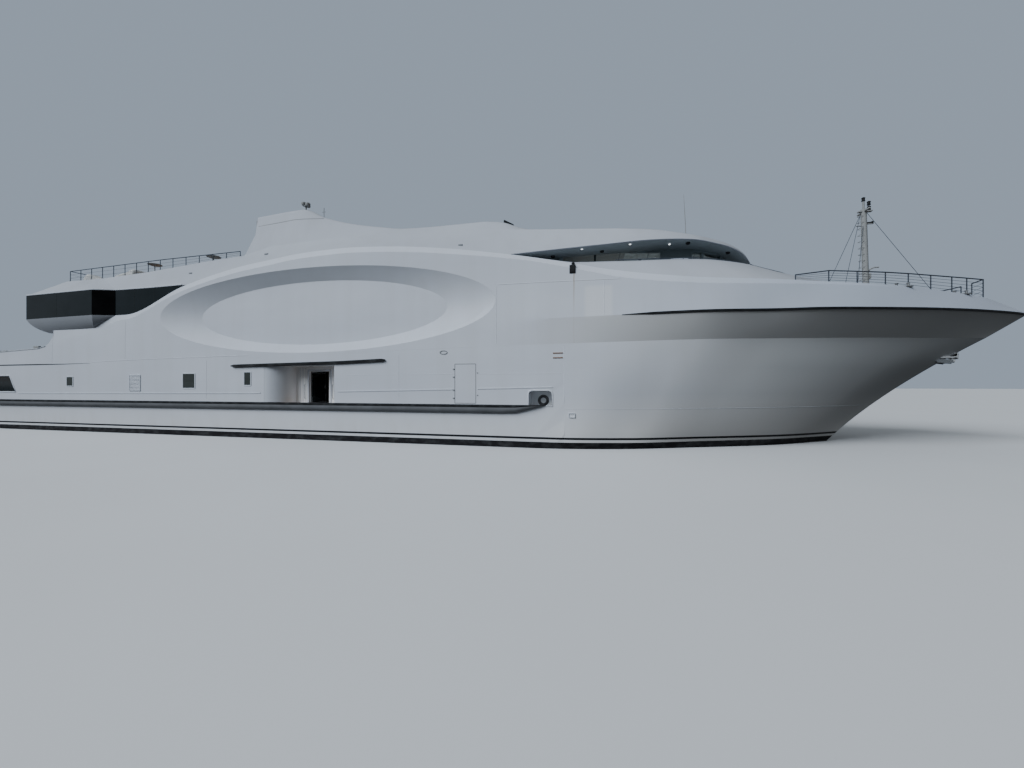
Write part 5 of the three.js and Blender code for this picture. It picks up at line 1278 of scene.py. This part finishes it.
horn = latheShape([[0.02, 0], [0.04, 0.02], [0.045, 0.18], [0.08, 0.28], [0.085, 0.29], [0.07, 0.29]],
                  onMast(11.58, 0.1), 20, "x")
makePiece("foremast_lamps", [*mastLamps, horn], "black")

# Anchor under its platform below the bow, fairleads on the bulwark and the deck gear behind it
stemPlate = prismShape([[65.6, 4.36], [66.74, 4.36], [66.81, 4.3], [66.81, 4.62], [66.74, 4.62], [66.72, 4.47],
                        [65.6, 4.47]], -0.26, 0.26, "xz", 0.012)
rollerPin = latheShape([[0.05, -0.28], [0.05, -0.2], [0.11, -0.18], [0.07, 0], [0.11, 0.18], [0.05, 0.2],
                        [0.05, 0.28]], [66.62, 0, 4.22], 20, "y")
makePiece("anchor_platform", [stemPlate, rollerPin], "dome", replaced=["anchor"])
anchorParts = [prismShape([[66.62, 4.28], [66.5, 4.06], [65.95, 4.14], [65.8, 4.3], [66.0, 4.33]],
                          y - 0.035, y + 0.035, "xz", 0.012) for y in (-0.24, 0.24)]
anchorParts += [rodShape([65.5, 0, 4.26], [66.8, 0, 4.2], 0.06, 12),
                rodShape([66.5, -0.3, 4.17], [66.5, 0.3, 4.17], 0.075, 14)]
makePiece("bow_anchor", anchorParts, "grey")

bulwarkEyes = []
for foot in starboard(shoulderLine, [62.75, 65.85]):
    bulwarkEyes += latheSet([[0.05, 0], [0.075, 0.01], [0.05, 0.04], [0.045, 0.14], [0.08, 0.16], [0.05, 0.19]],
                            [foot + [turn, 0.13, -0.01] for turn in (-0.22, 0.22)], 16)
    bulwarkEyes.append(blockShape(foot + [-0.36, 0.02, -0.03], foot + [0.36, 0.24, 0.03], 0.02))
pair("bulwark_fairleads", bulwarkEyes, "steel")

deckZ = deck["fore"] + seam
bittParts = [blockShape([63.85, -1.75, deckZ], [64.55, -1.45, deckZ + 0.06], 0.02),
             *latheSet([[0.09, 0], [0.085, 0.33], [0.12, 0.35], [0.125, 0.4], [0.1, 0.45], [0.02, 0.46]],
                       [[x, -1.6, deckZ + 0.03] for x in (64.0, 64.4)]),
             rodShape([63.88, -1.6, deckZ + 0.24], [64.52, -1.6, deckZ + 0.24], 0.035, 12)]
pair("mooring_bitts", bittParts, "steel", replaced="bitts")
windlassLook = {"x": 65.9, "axle": 0.42,
                "drum": [[0.06, -0.74], [0.17, -0.73], [0.17, -0.7], [0.11, -0.66], [0.1, -0.58], [0.15, -0.5],
                         [0.15, -0.46], [0.07, -0.45]],
                "gipsy": [[0.07, -0.38], [0.19, -0.37], [0.19, -0.33], [0.13, -0.3], [0.13, -0.24],
                          [0.19, -0.21], [0.19, -0.17], [0.07, -0.16]]}
axle = np.array([windlassLook["x"], 0, deckZ + windlassLook["axle"]])
wheels = [latheShape(windlassLook[key], axle, 28, "y") for key in ("drum", "gipsy")]
windlassParts = [blockShape([65.6, -0.45, deckZ], [66.2, 0.45, deckZ + 0.1], 0.03),
                 blockShape([65.72, -0.12, deckZ + 0.05], [66.08, 0.12, deckZ + 0.64], 0.05),
                 rodShape(axle - [0, 0.75, 0], axle + [0, 0.75, 0], 0.045, 14),
                 *(part for wheel in wheels for part in (wheel, mirrored(wheel)))]
windlassParts += [prismShape([[65.7, deckZ + 0.05], [66.1, deckZ + 0.05], [65.97, deckZ + 0.5],
                              [65.83, deckZ + 0.5]], y - 0.025, y + 0.025, "xz", 0.01) for y in (-0.42, 0.42)]
makePiece("anchor_windlass", windlassParts, "grey", replaced=["windlass"])
chainPath = np.array([[66.08, 0.27, 0.45], [66.3, 0.25, 0.25], [66.55, 0.2, 0.08], [66.9, 0.14, 0.05]])
chainPath[:, 2] += deckZ
makePiece("anchor_chains", [tubeShape(chainPath * [1, side, 1], 0.03) for side in (-1, 1)], "steel")
print("bow made")


# Decks: teak planking laid on each deck, a little short of its edges
def deckSlab(outline, level, thick=0.035):
    return prismShape(outline, level + seam, level + thick, ease=0.008)


def deckBox(x0, x1, half, level):
    return deckSlab([[x0, -half], [x1, -half], [x1, half], [x0, half]], level)


stairLook = {"steps": 5, "x": 1.72, "z": 0.85, "run": 0.28, "rise": 0.25, "y": 4.45, "half": 0.7}
treads = []
for k in range(stairLook["steps"]):
    aft, low = stairLook["x"] + stairLook["run"] * k, stairLook["z"] + stairLook["rise"] * k
    overlap = 0.16 if k == stairLook["steps"] - 1 else 0.02    # the top step meets the deck
    fore = aft + stairLook["run"] + overlap
    treads += blockSet([([aft, side * stairLook["y"] - stairLook["half"], low],
                         [fore, side * stairLook["y"] + stairLook["half"], low + 0.035])
                        for side in (-1, 1)], 0.012)
foredeckX = np.linspace(60.75, 67.2, 24)
foredeckHalf = np.maximum(lineAt(shoulderLine, foredeckX)[:, 0] - 0.4, 0.25)
platformPlan = mirroredPlan([[0.12, -5.6], [1.6, -5.65], [1.6, -3.6], [2.3, -3.6]])
alcoveDecks = [deckSlab([[31.9, side * 5.0], [35.2, side * 5.0], [35.2, side * 5.95], [31.6, side * 5.95]],
                        deck["main"]) for side in (-1, 1)]
sunPlan = mirroredPlan([[13.95, -4.85], [24, -4.85], [27.6, -4.62]])
makePiece("teak_decks", [deckBox(4.95, 12.45, 5.7, deck["terrace"]),
                         deckSlab(mirroredPlan(np.column_stack([foredeckX, -foredeckHalf])), deck["fore"]),
                         *treads, deckBox(3.45, 9.9, 5.35, deck["main"]), deckSlab(platformPlan, 0.62),
                         *alcoveDecks, deckSlab(sunPlan, deck["sun"]), deckBox(27.1, 43.8, 3.3, deck["sky"]),
                         deckBox(13.52, 15.58, 1.22, 4.45)], "teak")

# Stern: fender along the platform, stair rails, boarding ladder and cleats
makePiece("platform_fender", bandShape([[0.0, y, 0.47] for y in np.linspace(-5.7, 5.7, 12)], [-1, 0, 0],
                                       [0, 0, 1], 0.07, 0.04), "rubber")
stairRails = []
for y in (3.62, 5.28):
    topPath = [[1.78, -y, 0.64], [1.78, -y, 1.55], [1.95, -y, 1.7], [3.0, -y, 2.75], [3.2, -y, 2.85],
               [3.5, -y, 2.85]]
    midPath = [[1.78, -y, 1.15], [2.0, -y, 1.3], [3.0, -y, 2.3], [3.5, -y, 2.4]]
    stairRails += [tubeShape(topPath, 0.024, 10), tubeShape(midPath, 0.014),
                   rodShape([2.55, -y, 1.3], [2.55, -y, 2.3], 0.02)]
ladder = [tubeShape([[0.35, y, 0.64], [0.35, y, 1.3], [0.15, y, 1.42], [0.06, y, 1.3], [0.06, y, 0.66]], 0.02)
          for y in (-0.24, 0.24)]
cleats = [joined(blockShape([0.75, y - 0.05, 0.655], [1.05, y + 0.05, 0.68], 0.01),
                 *rodSet([([x, y, 0.66], [x, y, 0.75]) for x in (0.84, 0.96)], 0.025),
                 rodShape([0.72, y, 0.77], [1.08, y, 0.77], 0.022)) for y in (-5.3, 5.3)]
makePiece("stern_steelwork", [*(bothSides(shape) for shape in stairRails), *ladder, *cleats], "steel")

# Seam of the hatch in the sloping transom, drawn on its plane, with two flush handles
transom = {"foot": np.array([2.4, 0, 0.62]), "way": np.array([0.563, 0, 0.826]), "handleUp": 0.3,
           "out": np.array([-0.826, 0, 0.563])}
hatchLoop = roundedLoop(-2.6, 2.6, 0.12, 0.95, 0.08)
hatchPath = transom["foot"] + hatchLoop[:, :1] * [0, 1, 0] + hatchLoop[:, 1:] * transom["way"]
hatchAhead = unit(np.roll(hatchPath, -1, 0) - np.roll(hatchPath, 1, 0))
transomSeam = bandShape(hatchPath, transom["out"], np.cross(hatchAhead, transom["out"]), 0.016, 0.006,
                        loop=True)
handlePlace = transom["foot"] + transom["handleUp"] * transom["way"]
transomHandles = barSet([(handlePlace + [0, y - 0.12, 0], handlePlace + [0, y + 0.12, 0])
                         for y in (-1.2, 1.2)], 0.03, 0.02, transom["out"], transom["way"])
makePiece("transom_hatch", [transomSeam, *transomHandles], "seamGrey")


# Sofa across the ship: a seat, a back, and a row of cushions
def sofaShape(seat, back, cushion, half, middles):
    (x0, x1, low, high), (c0, c1, under, top) = seat, cushion
    blocks = blockSet([([x0, -half, low], [x1, half, high]),
                       ([back[0], -half, back[2]], [back[1], half, back[3]])], 0.07)
    step = (middles[1] - middles[0]) / 2 - 0.02
    return joined(*blocks, *blockSet([([c0, y - step, under], [c1, y + step, top]) for y in middles], 0.05))


aftSofa = sofaShape((8.3, 9.3, 1.9, 2.3), (9.1, 9.45, 2.25, 2.85), (8.32, 9.12, 2.29, 2.42), 3.6,
                    np.linspace(-3, 3, 6))
makePiece("cockpit_sofa", aftSofa, "cushion")
aftTable = [blockShape([6.6, -1.6, 2.5], [7.6, 1.6, 2.56]),
            *latheSet([[0.25, 1.89], [0.24, 1.92], [0.05, 1.96], [0.05, 2.48], [0.12, 2.5]],
                      [[7.1, y, 0] for y in (-1, 1)], 20)]
makePiece("cockpit_table", aftTable, "teak")

# Cockpit: side-port glass and its frame, glazed front with mullions, and ceiling lamps
portOutline = np.array([[5.2, 2.55], [9.95, 2.55], [9.3, 3.7], [5.2, 3.7]])
portLoop = cornered(np.vstack([portOutline, portOutline[:1]]), 4)[:-1]
pair("aft_port_frame", frameShape(portLoop, -halfBeam + 0.01, 0.05, 0.03), "white", sharp=60)
pair("aft_port_glass", prismShape(inset(portOutline, 0.02), -5.72, -5.66, "xz", 0.005), "darkGlass")
makePiece("cockpit_mullions", barSet([([9.99, y, 1.92], [9.99, y, 3.95]) for y in np.linspace(-4.8, 4.8, 7)],
                                     0.04, 0.03, [-1, 0, 0], [0, 1, 0]), "black")
makePiece("cockpit_glazing", prismShape([[9.96, 1.95], [9.96, 3.98], [9.99, 3.98], [9.99, 1.95]], -4.8, 4.8,
                                        "xz", 0.004), "darkGlass")
cockpitLamps = [[x, y, 4.015] for x in (4.8, 6.4, 8.0) for y in (-3.6, -1.2, 1.2, 3.6)]
makePiece("cockpit_lamps", latheSet([[0.001, 0], [0.06, 0], [0.075, 0.015], [0.075, 0.04]], cockpitLamps, 18),
          "lamp")
print("stern made")

# Terrace: bulwark cap, stern rail, glazed lounge front with its sliding doors, and loose furniture
capPath = np.array([[4.66, -5.925, 5.3], [8.3, -5.925, 5.36], [12.0, -5.925, 5.5], [12.75, -5.925, 5.64]])
capAcross = bandShape([[4.72, y, 5.3] for y in (-5.8, -2, 2, 5.8)], [0, 0, 1], [1, 0, 0], 0.15, 0.045, 0.0)
capSides = bandShape(capPath, [0, 0, 1], [0, 1, 0], 0.16, 0.045, 0.0)
makePiece("bulwark_cap", [capAcross, bothSides(capSides)], "white")
pair("bulwark_fittings", [blockShape([11.45, -6.0, 5.5], [12.0, -5.86, 5.7], 0.03),
                          *blockSet([([x, -6.0, 5.36], [x + 0.3, -5.88, 5.47]) for x in (7.6, 8.4, 9.1, 9.8)],
                                    0.025)], "mastGrey")
sternRail = {"x": 4.72, "foot": 5.3, "top": 5.62, "posts": np.linspace(-5.7, 5.7, 9), "staff": [4.2, 0, 7.3]}
railFoot, railTop = (np.array([sternRail["x"], 0, sternRail[key]]) for key in ("foot", "top"))
makePiece("stern_railing", [tubeShape([railTop + [0, y, 0] for y in (-5.7, 0, 5.7)], 0.026, 10),
                            *rodSet([(railFoot + [0, y, 0], railTop + [0, y, 0])
                                     for y in sternRail["posts"]], 0.022),
                            rodShape(railFoot, sternRail["staff"], 0.035, 12, 0.02),
                            latheShape([[0.001, 0], [0.05, 0.02], [0.05, 0.05], [0.001, 0.09]],
                                       [4.2, 0, 7.28], 16)], "steel")
front = {"x": 13.5, "half": 5.2, "mullions": (1.4, 2.6, 3.9, 5.2)}
frontX, frontHalf = front["x"], front["half"]
frontY = [side * y for side in (-1, 1) for y in front["mullions"][::side]]
frontFrames = barSet([([frontX, y, 4.44], [frontX, y, 6.38]) for y in frontY], 0.045, 0.024, [-1, 0, 0],
                     [0, 1, 0])
for z, half, proud in ((6.42, 0.05, 0.024), (4.42, 0.03, 0.02)):
    frontFrames += barSet([([frontX, -frontHalf, z], [frontX, frontHalf, z])], half, proud, [-1, 0, 0])
makePiece("terrace_frames", frontFrames, "black")
frontGlass = prismShape([[-5.2, 4.45], [-1.45, 4.45], [-1.45, 6.38], [-5.2, 6.38]], 13.485, 13.4994, "yz",
                        0.003)
makePiece("terrace_glazing", bothSides(frontGlass), "darkGlass")
slidePoints, slideFaces = frameShape(roundedLoop(-1.29, -0.02, 4.43, 6.38, 0.02), 0, 0.03, 0.012, 0.004)
slideFrame = slidePoints[:, [1, 0, 2]] + [13.4, 0, 0], slideFaces    # turned to face aft
slideHandle = tubeShape([[13.4, -0.14, 5.1], [13.33, -0.14, 5.14], [13.33, -0.14, 5.66],
                         [13.4, -0.14, 5.7]], 0.014)
slideLeaf = prismShape([[-1.3, 4.4006], [-0.0025, 4.4006], [-0.0025, 6.4], [-1.3, 6.4]], 13.4, 13.46, "yz",
                       0.004)
pair("sliding_leaf", slideLeaf, "doorGlass", "terrace_door", "terrace_door")
pair("sliding_frame", slideFrame, "black", "terrace_door")
pair("sliding_handle", slideHandle, "steel", "terrace_door")

# Chairs turned about their own middles, a sofa and a round table
chairLook = {"places": ((7.0, -1.9, 0.3), (7.0, 1.9, -0.3), (9.0, -1.9, 2.8), (9.0, 1.9, 3.5)), "foot": 4.435}
cushionParts, chairLegs = [], []
for x, y, turn in chairLook["places"]:
    padding = joined(*blockSet([([-0.34, -0.34, 4.72], [0.34, 0.34, 4.86]),
                                ([-0.38, -0.34, 4.8], [-0.26, 0.34, 5.28])], 0.05))
    legs = joined(*rodSet([([sx * 0.3, sy * 0.3, chairLook["foot"]], [sx * 0.3, sy * 0.3, 4.74])
                           for sx in (-1, 1) for sy in (-1, 1)], 0.018, 8))
    spin = np.array([[math.cos(turn), math.sin(turn), 0], [-math.sin(turn), math.cos(turn), 0], [0, 0, 1]])
    for (points, faces), parts in ((padding, cushionParts), (legs, chairLegs)):
        parts.append((points @ spin + [x, y, 0], faces))
cushionParts.append(sofaShape((10.6, 11.5, 4.44, 4.8), (11.35, 11.65, 4.75, 5.25),
                              (10.62, 11.4, 4.79, 4.93), 3.2, np.linspace(-2.6, 2.6, 6)))
makePiece("terrace_cushions", cushionParts, "cushion")
makePiece("terrace_legs", chairLegs, "steel")
tableTop = latheShape([[0.001, 5.08], [0.78, 5.08], [0.8, 5.1], [0.78, 5.13], [0.001, 5.13]], [8.0, 0, 0], 40)
tableFoot = latheShape([[0.34, 4.435], [0.33, 4.47], [0.06, 4.52], [0.05, 5.0], [0.2, 5.08]], [8.0, 0, 0])
makePiece("terrace_table", [tableTop, tableFoot], "teak")
print("terrace made")

# Boarding door leaf, open at rest, with its trim line, handle and hinges
leafX, leafY = 32.68, -4.7475
boardLeaf = blockShape([leafX - 0.06, leafY, 1.8525], [leafX, leafY + 1.44, 3.86], 0.008, 2)
leafLoop = roundedLoop(leafY + 0.12, leafY + 1.32, 1.98, 3.74, 0.03)
leafAhead = unit(np.roll(leafLoop, -1, 0) - np.roll(leafLoop, 1, 0))
leafAcross = np.column_stack([np.zeros(len(leafLoop)), leafAhead[:, 1], -leafAhead[:, 0]])
leafTrim = [bandShape(np.insert(leafLoop, 0, leafX, 1), [1, 0, 0], leafAcross, 0.035, 0.008, loop=True),
            blockShape([leafX - 0.09, leafY + 1.22, 2.8], [leafX + 0.03, leafY + 1.3, 3.0], 0.01),
            *rodSet([([leafX - 0.02, leafY + 0.02, z], [leafX - 0.02, leafY + 0.02, z + 0.16])
                     for z in (1.853, 2.6, 3.5)], 0.018)]
pair("boarding_leaf", boardLeaf, "darkGlass", "boarding_door", "boarding_door")
pair("boarding_leaf_trim", leafTrim, "steel", "boarding_door")


# Sun deck gear: covered loungers, lamp discs on posts and seats round the well
# A cover is a squashed ring section, |cos| ^ 0.5 by |sin| ^ 0.6, its crest sagging along the length
def canvasCover(x0, x1, y, half, low, high, tilt):
    u, v = np.meshgrid(np.linspace(0, 1, 25), turnOf(24), indexing="ij")
    c, s = np.cos(v), np.sin(v)
    ends = np.sqrt(np.clip(1 - np.abs(2 * u - 1) ** 6, 0.04, 1))
    crest = low + ends * ((high - low) * (0.72 + 0.28 * np.cos(3.1 * u + tilt)) + 0.02 * np.sin(17 * u + 3 * v))
    wide = half * np.sign(c) * np.abs(c) ** 0.5 * (1 - 0.1 * np.cos(9 * u) * (s > 0))
    return ringBody(np.stack([x0 + (x1 - x0) * u, y + wide,
                              low + (crest - low) * (0.5 + 0.5 * np.sign(s) * np.abs(s) ** 0.6)], -1))


gearLook = {"floor": 10.04, "aftCovers": (-4.4, 4.4, -1.5, 1.5), "foreCovers": (-4.25, 4.25),
            "lamps": ((20.3, 11.05), (25.25, 11.2)), "lampY": 4.55, "seatY": 3.6}
gearFloor = gearLook["floor"]
covers = [canvasCover(13.98, 16.0, y, 0.42, gearFloor, 10.94, 0.4) for y in gearLook["aftCovers"]]
covers += [canvasCover(16.6, 18.9, y, 0.6, gearFloor, 11.0, 2.9) for y in gearLook["foreCovers"]]
makePiece("covered_loungers", covers, "canvas", sharp=50)
lampPosts = []
for x, z in gearLook["lamps"]:
    for y in (-gearLook["lampY"], gearLook["lampY"]):
        lampPosts += [rodShape([x, y, 10.03], [x, y, z - 0.02], 0.028),
                      latheShape([[0.001, -0.06], [0.2, -0.06], [0.38, 0.0], [0.4, 0.03], [0.36, 0.06],
                                  [0.001, 0.1]], [x, y, z], 30)]
makePiece("deck_lamps", lampPosts, "mastGrey")
sunSeats = blockSet([box for y in (-gearLook["seatY"], gearLook["seatY"])
                     for box in (([22.4, y - 0.9, gearFloor], [25.6, y + 0.9, 10.42]),
                                 ([22.45, y - 0.85, 10.4], [25.55, y + 0.85, 10.55]))], 0.06)
makePiece("sun_deck_seats", sunSeats, "cushion")
makePiece("sun_deck_bar", [blockShape([26.2, -2.0, gearFloor], [26.9, 2.0, 10.98], 0.03),
                           blockShape([26.1, -2.1, 10.97], [27.0, 2.1, 11.03])], "deckhouse")


# Points of the fin's side at each x and height
def onFin(x, z):
    low, high = lineAt(roofCrease, x), lineAt(roofEdge, x)
    share = (z - low[:, 1]) / (high[:, 1] - low[:, 1])
    return np.column_stack([x, -(low[:, 0] + (high[:, 0] - low[:, 0]) * share), z])


# Fin details: a seam, a cluster of lamps, an aerial and a pole
finX = np.linspace(28.45, 33.0, 24)
pair("fin_seams", bandShape(onFin(finX, np.interp(finX, [28.43, 30.94, 33.14], [12.97, 13.17, 13.11])),
                            [0, -0.96, 0.27], [0, 0.27, 0.96], 0.022, 0.006), "seamGrey")
lampHead = [latheShape([[0.02, -0.12], [0.09, -0.1], [0.14, 0.0], [0.15, 0.08], [0.12, 0.09]], place, 22, axis)
            for place, axis in (([31.4, -3.85, 14.265], "y"), ([31.66, -3.81, 14.22], "y"),
                                ([31.52, -3.63, 14.24], "x"))]
lampHead += [rodShape([31.5, -3.75, 13.9], [31.5, -3.75, 14.2], 0.045, 12),
             blockShape([31.36, -3.9, 14.12], [31.7, -3.6, 14.18], 0.015),
             latheShape([[0.03, 0], [0.06, 0.01], [0.05, 0.09], [0.02, 0.1]], [31.5, -3.72, 14.29], 16)]
makePiece("fin_lamps", lampHead, "mastGrey", replaced=["fin_light"])
makePiece("fin_aerials", [rodShape([32.88, -3.85, 13.2], [32.88, -3.85, 13.85], 0.018, 8),
                          rodShape([32.76, -3.85, 13.6], [33.0, -3.85, 13.6], 0.014, 8),
                          rodShape([27.98, -3.9, 12.95], [27.98, -3.9, 13.5], 0.05, 12),
                          *rodSet([([27.98, -3.9, 13.02], [28.5, -3.9, 13.02]),
                                   ([27.98, -3.9, 13.4], [28.4, -3.9, 13.4])], 0.03, 8)], "mastGrey")

# Domes: a ball with a belt round its middle, on a turned foot; and the radar with its scanner bar
domeLook = {"place": (35.6, -1.7), "radius": 0.72, "scale": 0.86, "lift": 0.88, "belt": (0.735, 0.02)}
domeTilt = np.linspace(-0.95, np.pi / 2, 20)
ball = domeLook["radius"] * np.column_stack([np.cos(domeTilt), np.sin(domeTilt)])
belt = np.array([[1, -1], [1, 1]]) * domeLook["belt"]
domeProfile = np.vstack([[[0.30, -0.6], [0.30, -0.5]], ball[:7], belt, ball[8:-1],
                         [[0.01, domeLook["radius"]]]])
domeBall = latheShape(domeLook["scale"] * domeProfile,
                      [*domeLook["place"], deck["sky"] + domeLook["lift"]], 48)
domeFoot = latheShape([[0.36, 0.0], [0.36, 0.03], [0.27, 0.06], [0.22, 0.34], [0.26, 0.4]],
                      [*domeLook["place"], deck["sky"] + seam], 28)
pair("dome_cover", [domeBall, domeFoot], "dome", replaced="satellite_dome")
radarX = 39
pedestal = [latheShape([[0.42, 0.0], [0.42, 0.04], [0.3, 0.1], [0.26, 0.6], [0.2, 1.05], [0.24, 1.1],
                        [0.24, 1.38], [0.2, 1.4]], [radarX, 0, deck["sky"] + seam], 32),
            blockShape([radarX - 0.14, -0.9, 12.35], [radarX + 0.14, 0.9, 12.42]),
            *latheSet([[0.03, 0], [0.1, 0.01], [0.1, 0.1], [0.03, 0.13]],
                      [[radarX, y, 12.42] for y in (-0.8, 0.8)], 20)]
makePiece("radar_mast", pedestal, "white", replaced=["radar_pedestal"])
scanner = [latheShape([[0.09, 0.0006], [0.09, 0.05], [0.12, 0.07], [0.12, 0.1]], [radarX, 0, 13.0]),
           prismShape([[-0.11, 13.1], [-0.06, 13.08], [0.06, 13.08], [0.11, 13.1], [0.11, 13.22], [0.05, 13.27],
                       [-0.05, 13.27], [-0.11, 13.22]], radarX - 1.1, radarX + 1.1, "yz", 0.03)]
makePiece("radar_bar", scanner, "dome", "radar_scanner", ["radar_scanner"])
print("upper decks made")

# Foredeck hatch: a near-black plate at the foot of the shaft, painted shade for the dark opening, and the lid
# with its dogs and lifting handle
hatchX = 64.9
makePiece("hatch_shaft", blockShape([hatchX - 0.37, -0.37, 6.605], [hatchX + 0.37, 0.37, 6.642], 0.004),
          "facet")
makePiece("hatch_lid", [blockShape([hatchX - 0.48, -0.48, 6.7406], [hatchX + 0.48, 0.48, 6.80]),
                        blockShape([hatchX - 0.38, -0.38, 6.79], [hatchX + 0.38, 0.38, 6.81], 0.008)], "white",
          "foredeck_hatch", ["foredeck_hatch"])
hatchDogs = [joined(rodShape([hatchX + 0.4, y, 6.78], [hatchX + 0.4, y, 6.85], 0.025),
                    rodShape([hatchX + 0.4, y, 6.84], [hatchX + 0.28, y, 6.86], 0.014, 8)) for y in (-0.3, 0.3)]
lift = rodSet([([64.7, -0.1, 6.81], [64.7, -0.1, 6.86]), ([64.7, 0.1, 6.81], [64.7, 0.1, 6.86]),
               ([64.7, -0.1, 6.86], [64.7, 0.1, 6.86])], 0.012, 8)
makePiece("hatch_dogs", [*hatchDogs, *lift], "steel", "foredeck_hatch")

# Propellers with twisted blades, and rudders
screwLook = {"centre": [3.3, -2.9, -1.3], "blades": 4, "root": 0.1, "span": 0.52, "chord": 0.235, "pitch": 0.2,
             "rake": 0.12}


# A blade in the propeller's own axes: radius along the span, chord points turned by the pitch angle
def bladeShape(turn):
    s, c = np.meshgrid(np.linspace(0, 1, 18), turnOf(28), indexing="ij")
    radius = screwLook["root"] + screwLook["span"] * s
    chord = (screwLook["chord"] * (0.42 + 0.58 * np.sin(np.pi * (0.12 + 0.74 * s)))
             * np.sqrt(np.clip(1.0 - s ** 5, 0.03, 1)))
    pitch = np.arctan2(screwLook["pitch"], radius)
    along, thick = chord * np.cos(c), (0.03 - 0.02 * s) * np.sin(c)
    swirl = turn + (along * np.cos(pitch) - thick * np.sin(pitch)) / radius + screwLook["rake"] * s
    x = -(along * np.sin(pitch) + thick * np.cos(pitch))
    return ringBody(np.stack([x, radius * np.cos(swirl), radius * np.sin(swirl)], -1))


hub = latheShape([[0.01, -0.3], [0.06, -0.29], [0.11, -0.2], [0.14, 0.0], [0.14, 0.235]], [0, 0, 0], 30, "x")
screwPoints, screwFaces = joined(hub, *[bladeShape(2 * np.pi / screwLook["blades"] * k)
                                        for k in range(screwLook["blades"])])
pair("bronze_screw", (screwPoints + screwLook["centre"], screwFaces), "bronze", "propeller", "propeller",
     sharp=40)
foilX = 0.55 * np.cos(turnOf(40))
foilY = 0.1 * np.sin(turnOf(40)) * np.sqrt(np.clip((foilX + 0.6) / 1.15, 0, 1)) * 1.2
foil = ringBody(np.stack([np.column_stack([1.55 + foilX * (1 - 0.12 * t), foilY * (1 - 0.2 * t) - 2.9,
                                           np.full(40, -0.42 - 1.38 * t)]) for t in np.linspace(0, 1, 8)]))
pair("rudder_foil", [foil, rodShape([1.75, -2.9, -0.6], [1.75, -2.9, -0.3206], 0.08, 20)], "antifouling",
     "rudder", "rudder")
print("running gear made")

# Camera
cameraLook = {"place": (24.8, -12.2, 1.465), "turn": 13.4, "lens": 13.71, "horizon": 2.5 / 1024}
cameraData = bpy.data.cameras.new("camera")
cameraData.lens, cameraData.sensor_width = cameraLook["lens"], 36
cameraData.shift_y = cameraLook["horizon"]
cameraData.clip_start, cameraData.clip_end = 0.1, 2000
camera = objectOf("camera", cameraData)
camera.location = cameraLook["place"]
camera.rotation_euler = (math.pi / 2, 0, math.radians(cameraLook["turn"]))
bpy.context.scene.camera = camera

# Floor, and a plain backdrop that only the camera sees: a round wall with a domed top
stageLook = {"floor": (0.74, 0.76, 0.78), "floorHalf": 400, "backdrop": (0.30, 0.36, 0.44), "wallRadius": 390,
             "sky": (0.86, 0.93, 1.0), "ambient": 0.045, "overhead": 0.30, "side": 0.27,
             "sideWay": (-0.6, -0.75, 0.15), "sunWay": (0.55, 0.60, -0.56), "sunPower": 3.0, "sunSoftness": 34,
             "sunColor": (0.90, 0.965, 1.04)}
floorMesh = bpy.data.meshes.new("floor")
floorMesh.from_pydata([(stageLook["floorHalf"] * x, stageLook["floorHalf"] * y, 0)
                       for x, y in ((-1, -1), (1, -1), (1, 1), (-1, 1))], [], [(0, 1, 2, 3)])
floor = objectOf("floor", floorMesh)
floorFinish = newFinish("floorFinish", stageLook["floor"], 0.6)
feed(floorFinish, "Base Color", blendColor(floorFinish, noise(floorFinish, 0.3), stageLook["floor"],
                                           scaled(stageLook["floor"], 0.94)))
floorMesh.materials.append(floorFinish)
floor.visible_diffuse = floor.visible_glossy = False    # no light thrown up under the flared bow

wallTurn = turnOf(96)
wallTilt = np.linspace(-0.02, np.pi / 2 - 0.01, 24)[:, None]
wall = stageLook["wallRadius"] * np.stack([np.cos(wallTilt) * np.cos(wallTurn),
                                           np.cos(wallTilt) * np.sin(wallTurn),
                                           np.broadcast_to(np.sin(wallTilt), (24, 96))], -1)
backdrop = objectOf("backdrop", meshOf("backdrop", gridShape(wall / shipScale, closedCols=True)))
backdrop.data.materials.append(newFinish("backdropFinish", (0, 0, 0), 1.0, **{
    "Specular IOR Level": 0.0, "Emission Color": (*stageLook["backdrop"], 1), "Emission Strength": 1.0}))
backdrop.visible_diffuse = backdrop.visible_glossy = backdrop.visible_shadow = False
backdrop.visible_transmission = True

# Soft studio light: a dim dome, brighter overhead and on the camera's left, and one broad sun
world = bpy.data.worlds.new("world")
bpy.context.scene.world = world
world.use_nodes = True
way = addNode(world, "ShaderNodeTexCoord").outputs["Generated"]
height = axesOf(world, way)["Z"]
toSide = addNode(world, "ShaderNodeVectorMath", {0: way, 1: stageLook["sideWay"]}, operation="DOT_PRODUCT")
overhead = mathOf(world, "MULTIPLY", mathOf(world, "MAXIMUM", height, 0.0), stageLook["overhead"])
aboveHorizon = product(world, mathOf(world, "GREATER_THAN", height, 0.0), stageLook["side"])
sideGlow = product(world, mathOf(world, "MAXIMUM", toSide.outputs["Value"], 0.0), aboveHorizon)
total = mathOf(world, "ADD", mathOf(world, "ADD", overhead, sideGlow), stageLook["ambient"])
background = world.node_tree.nodes["Background"]
background.inputs["Color"].default_value = (*stageLook["sky"], 1)
world.node_tree.links.new(total, background.inputs["Strength"])
sunData = bpy.data.lights.new("sun", "SUN")
sunData.energy, sunData.angle = stageLook["sunPower"], math.radians(stageLook["sunSoftness"])
sunData.color = stageLook["sunColor"]
sun = objectOf("sun", sunData)
sun.visible_glossy = False
sun.rotation_euler = Vector(stageLook["sunWay"]).to_track_quat("-Z", "Y").to_euler()
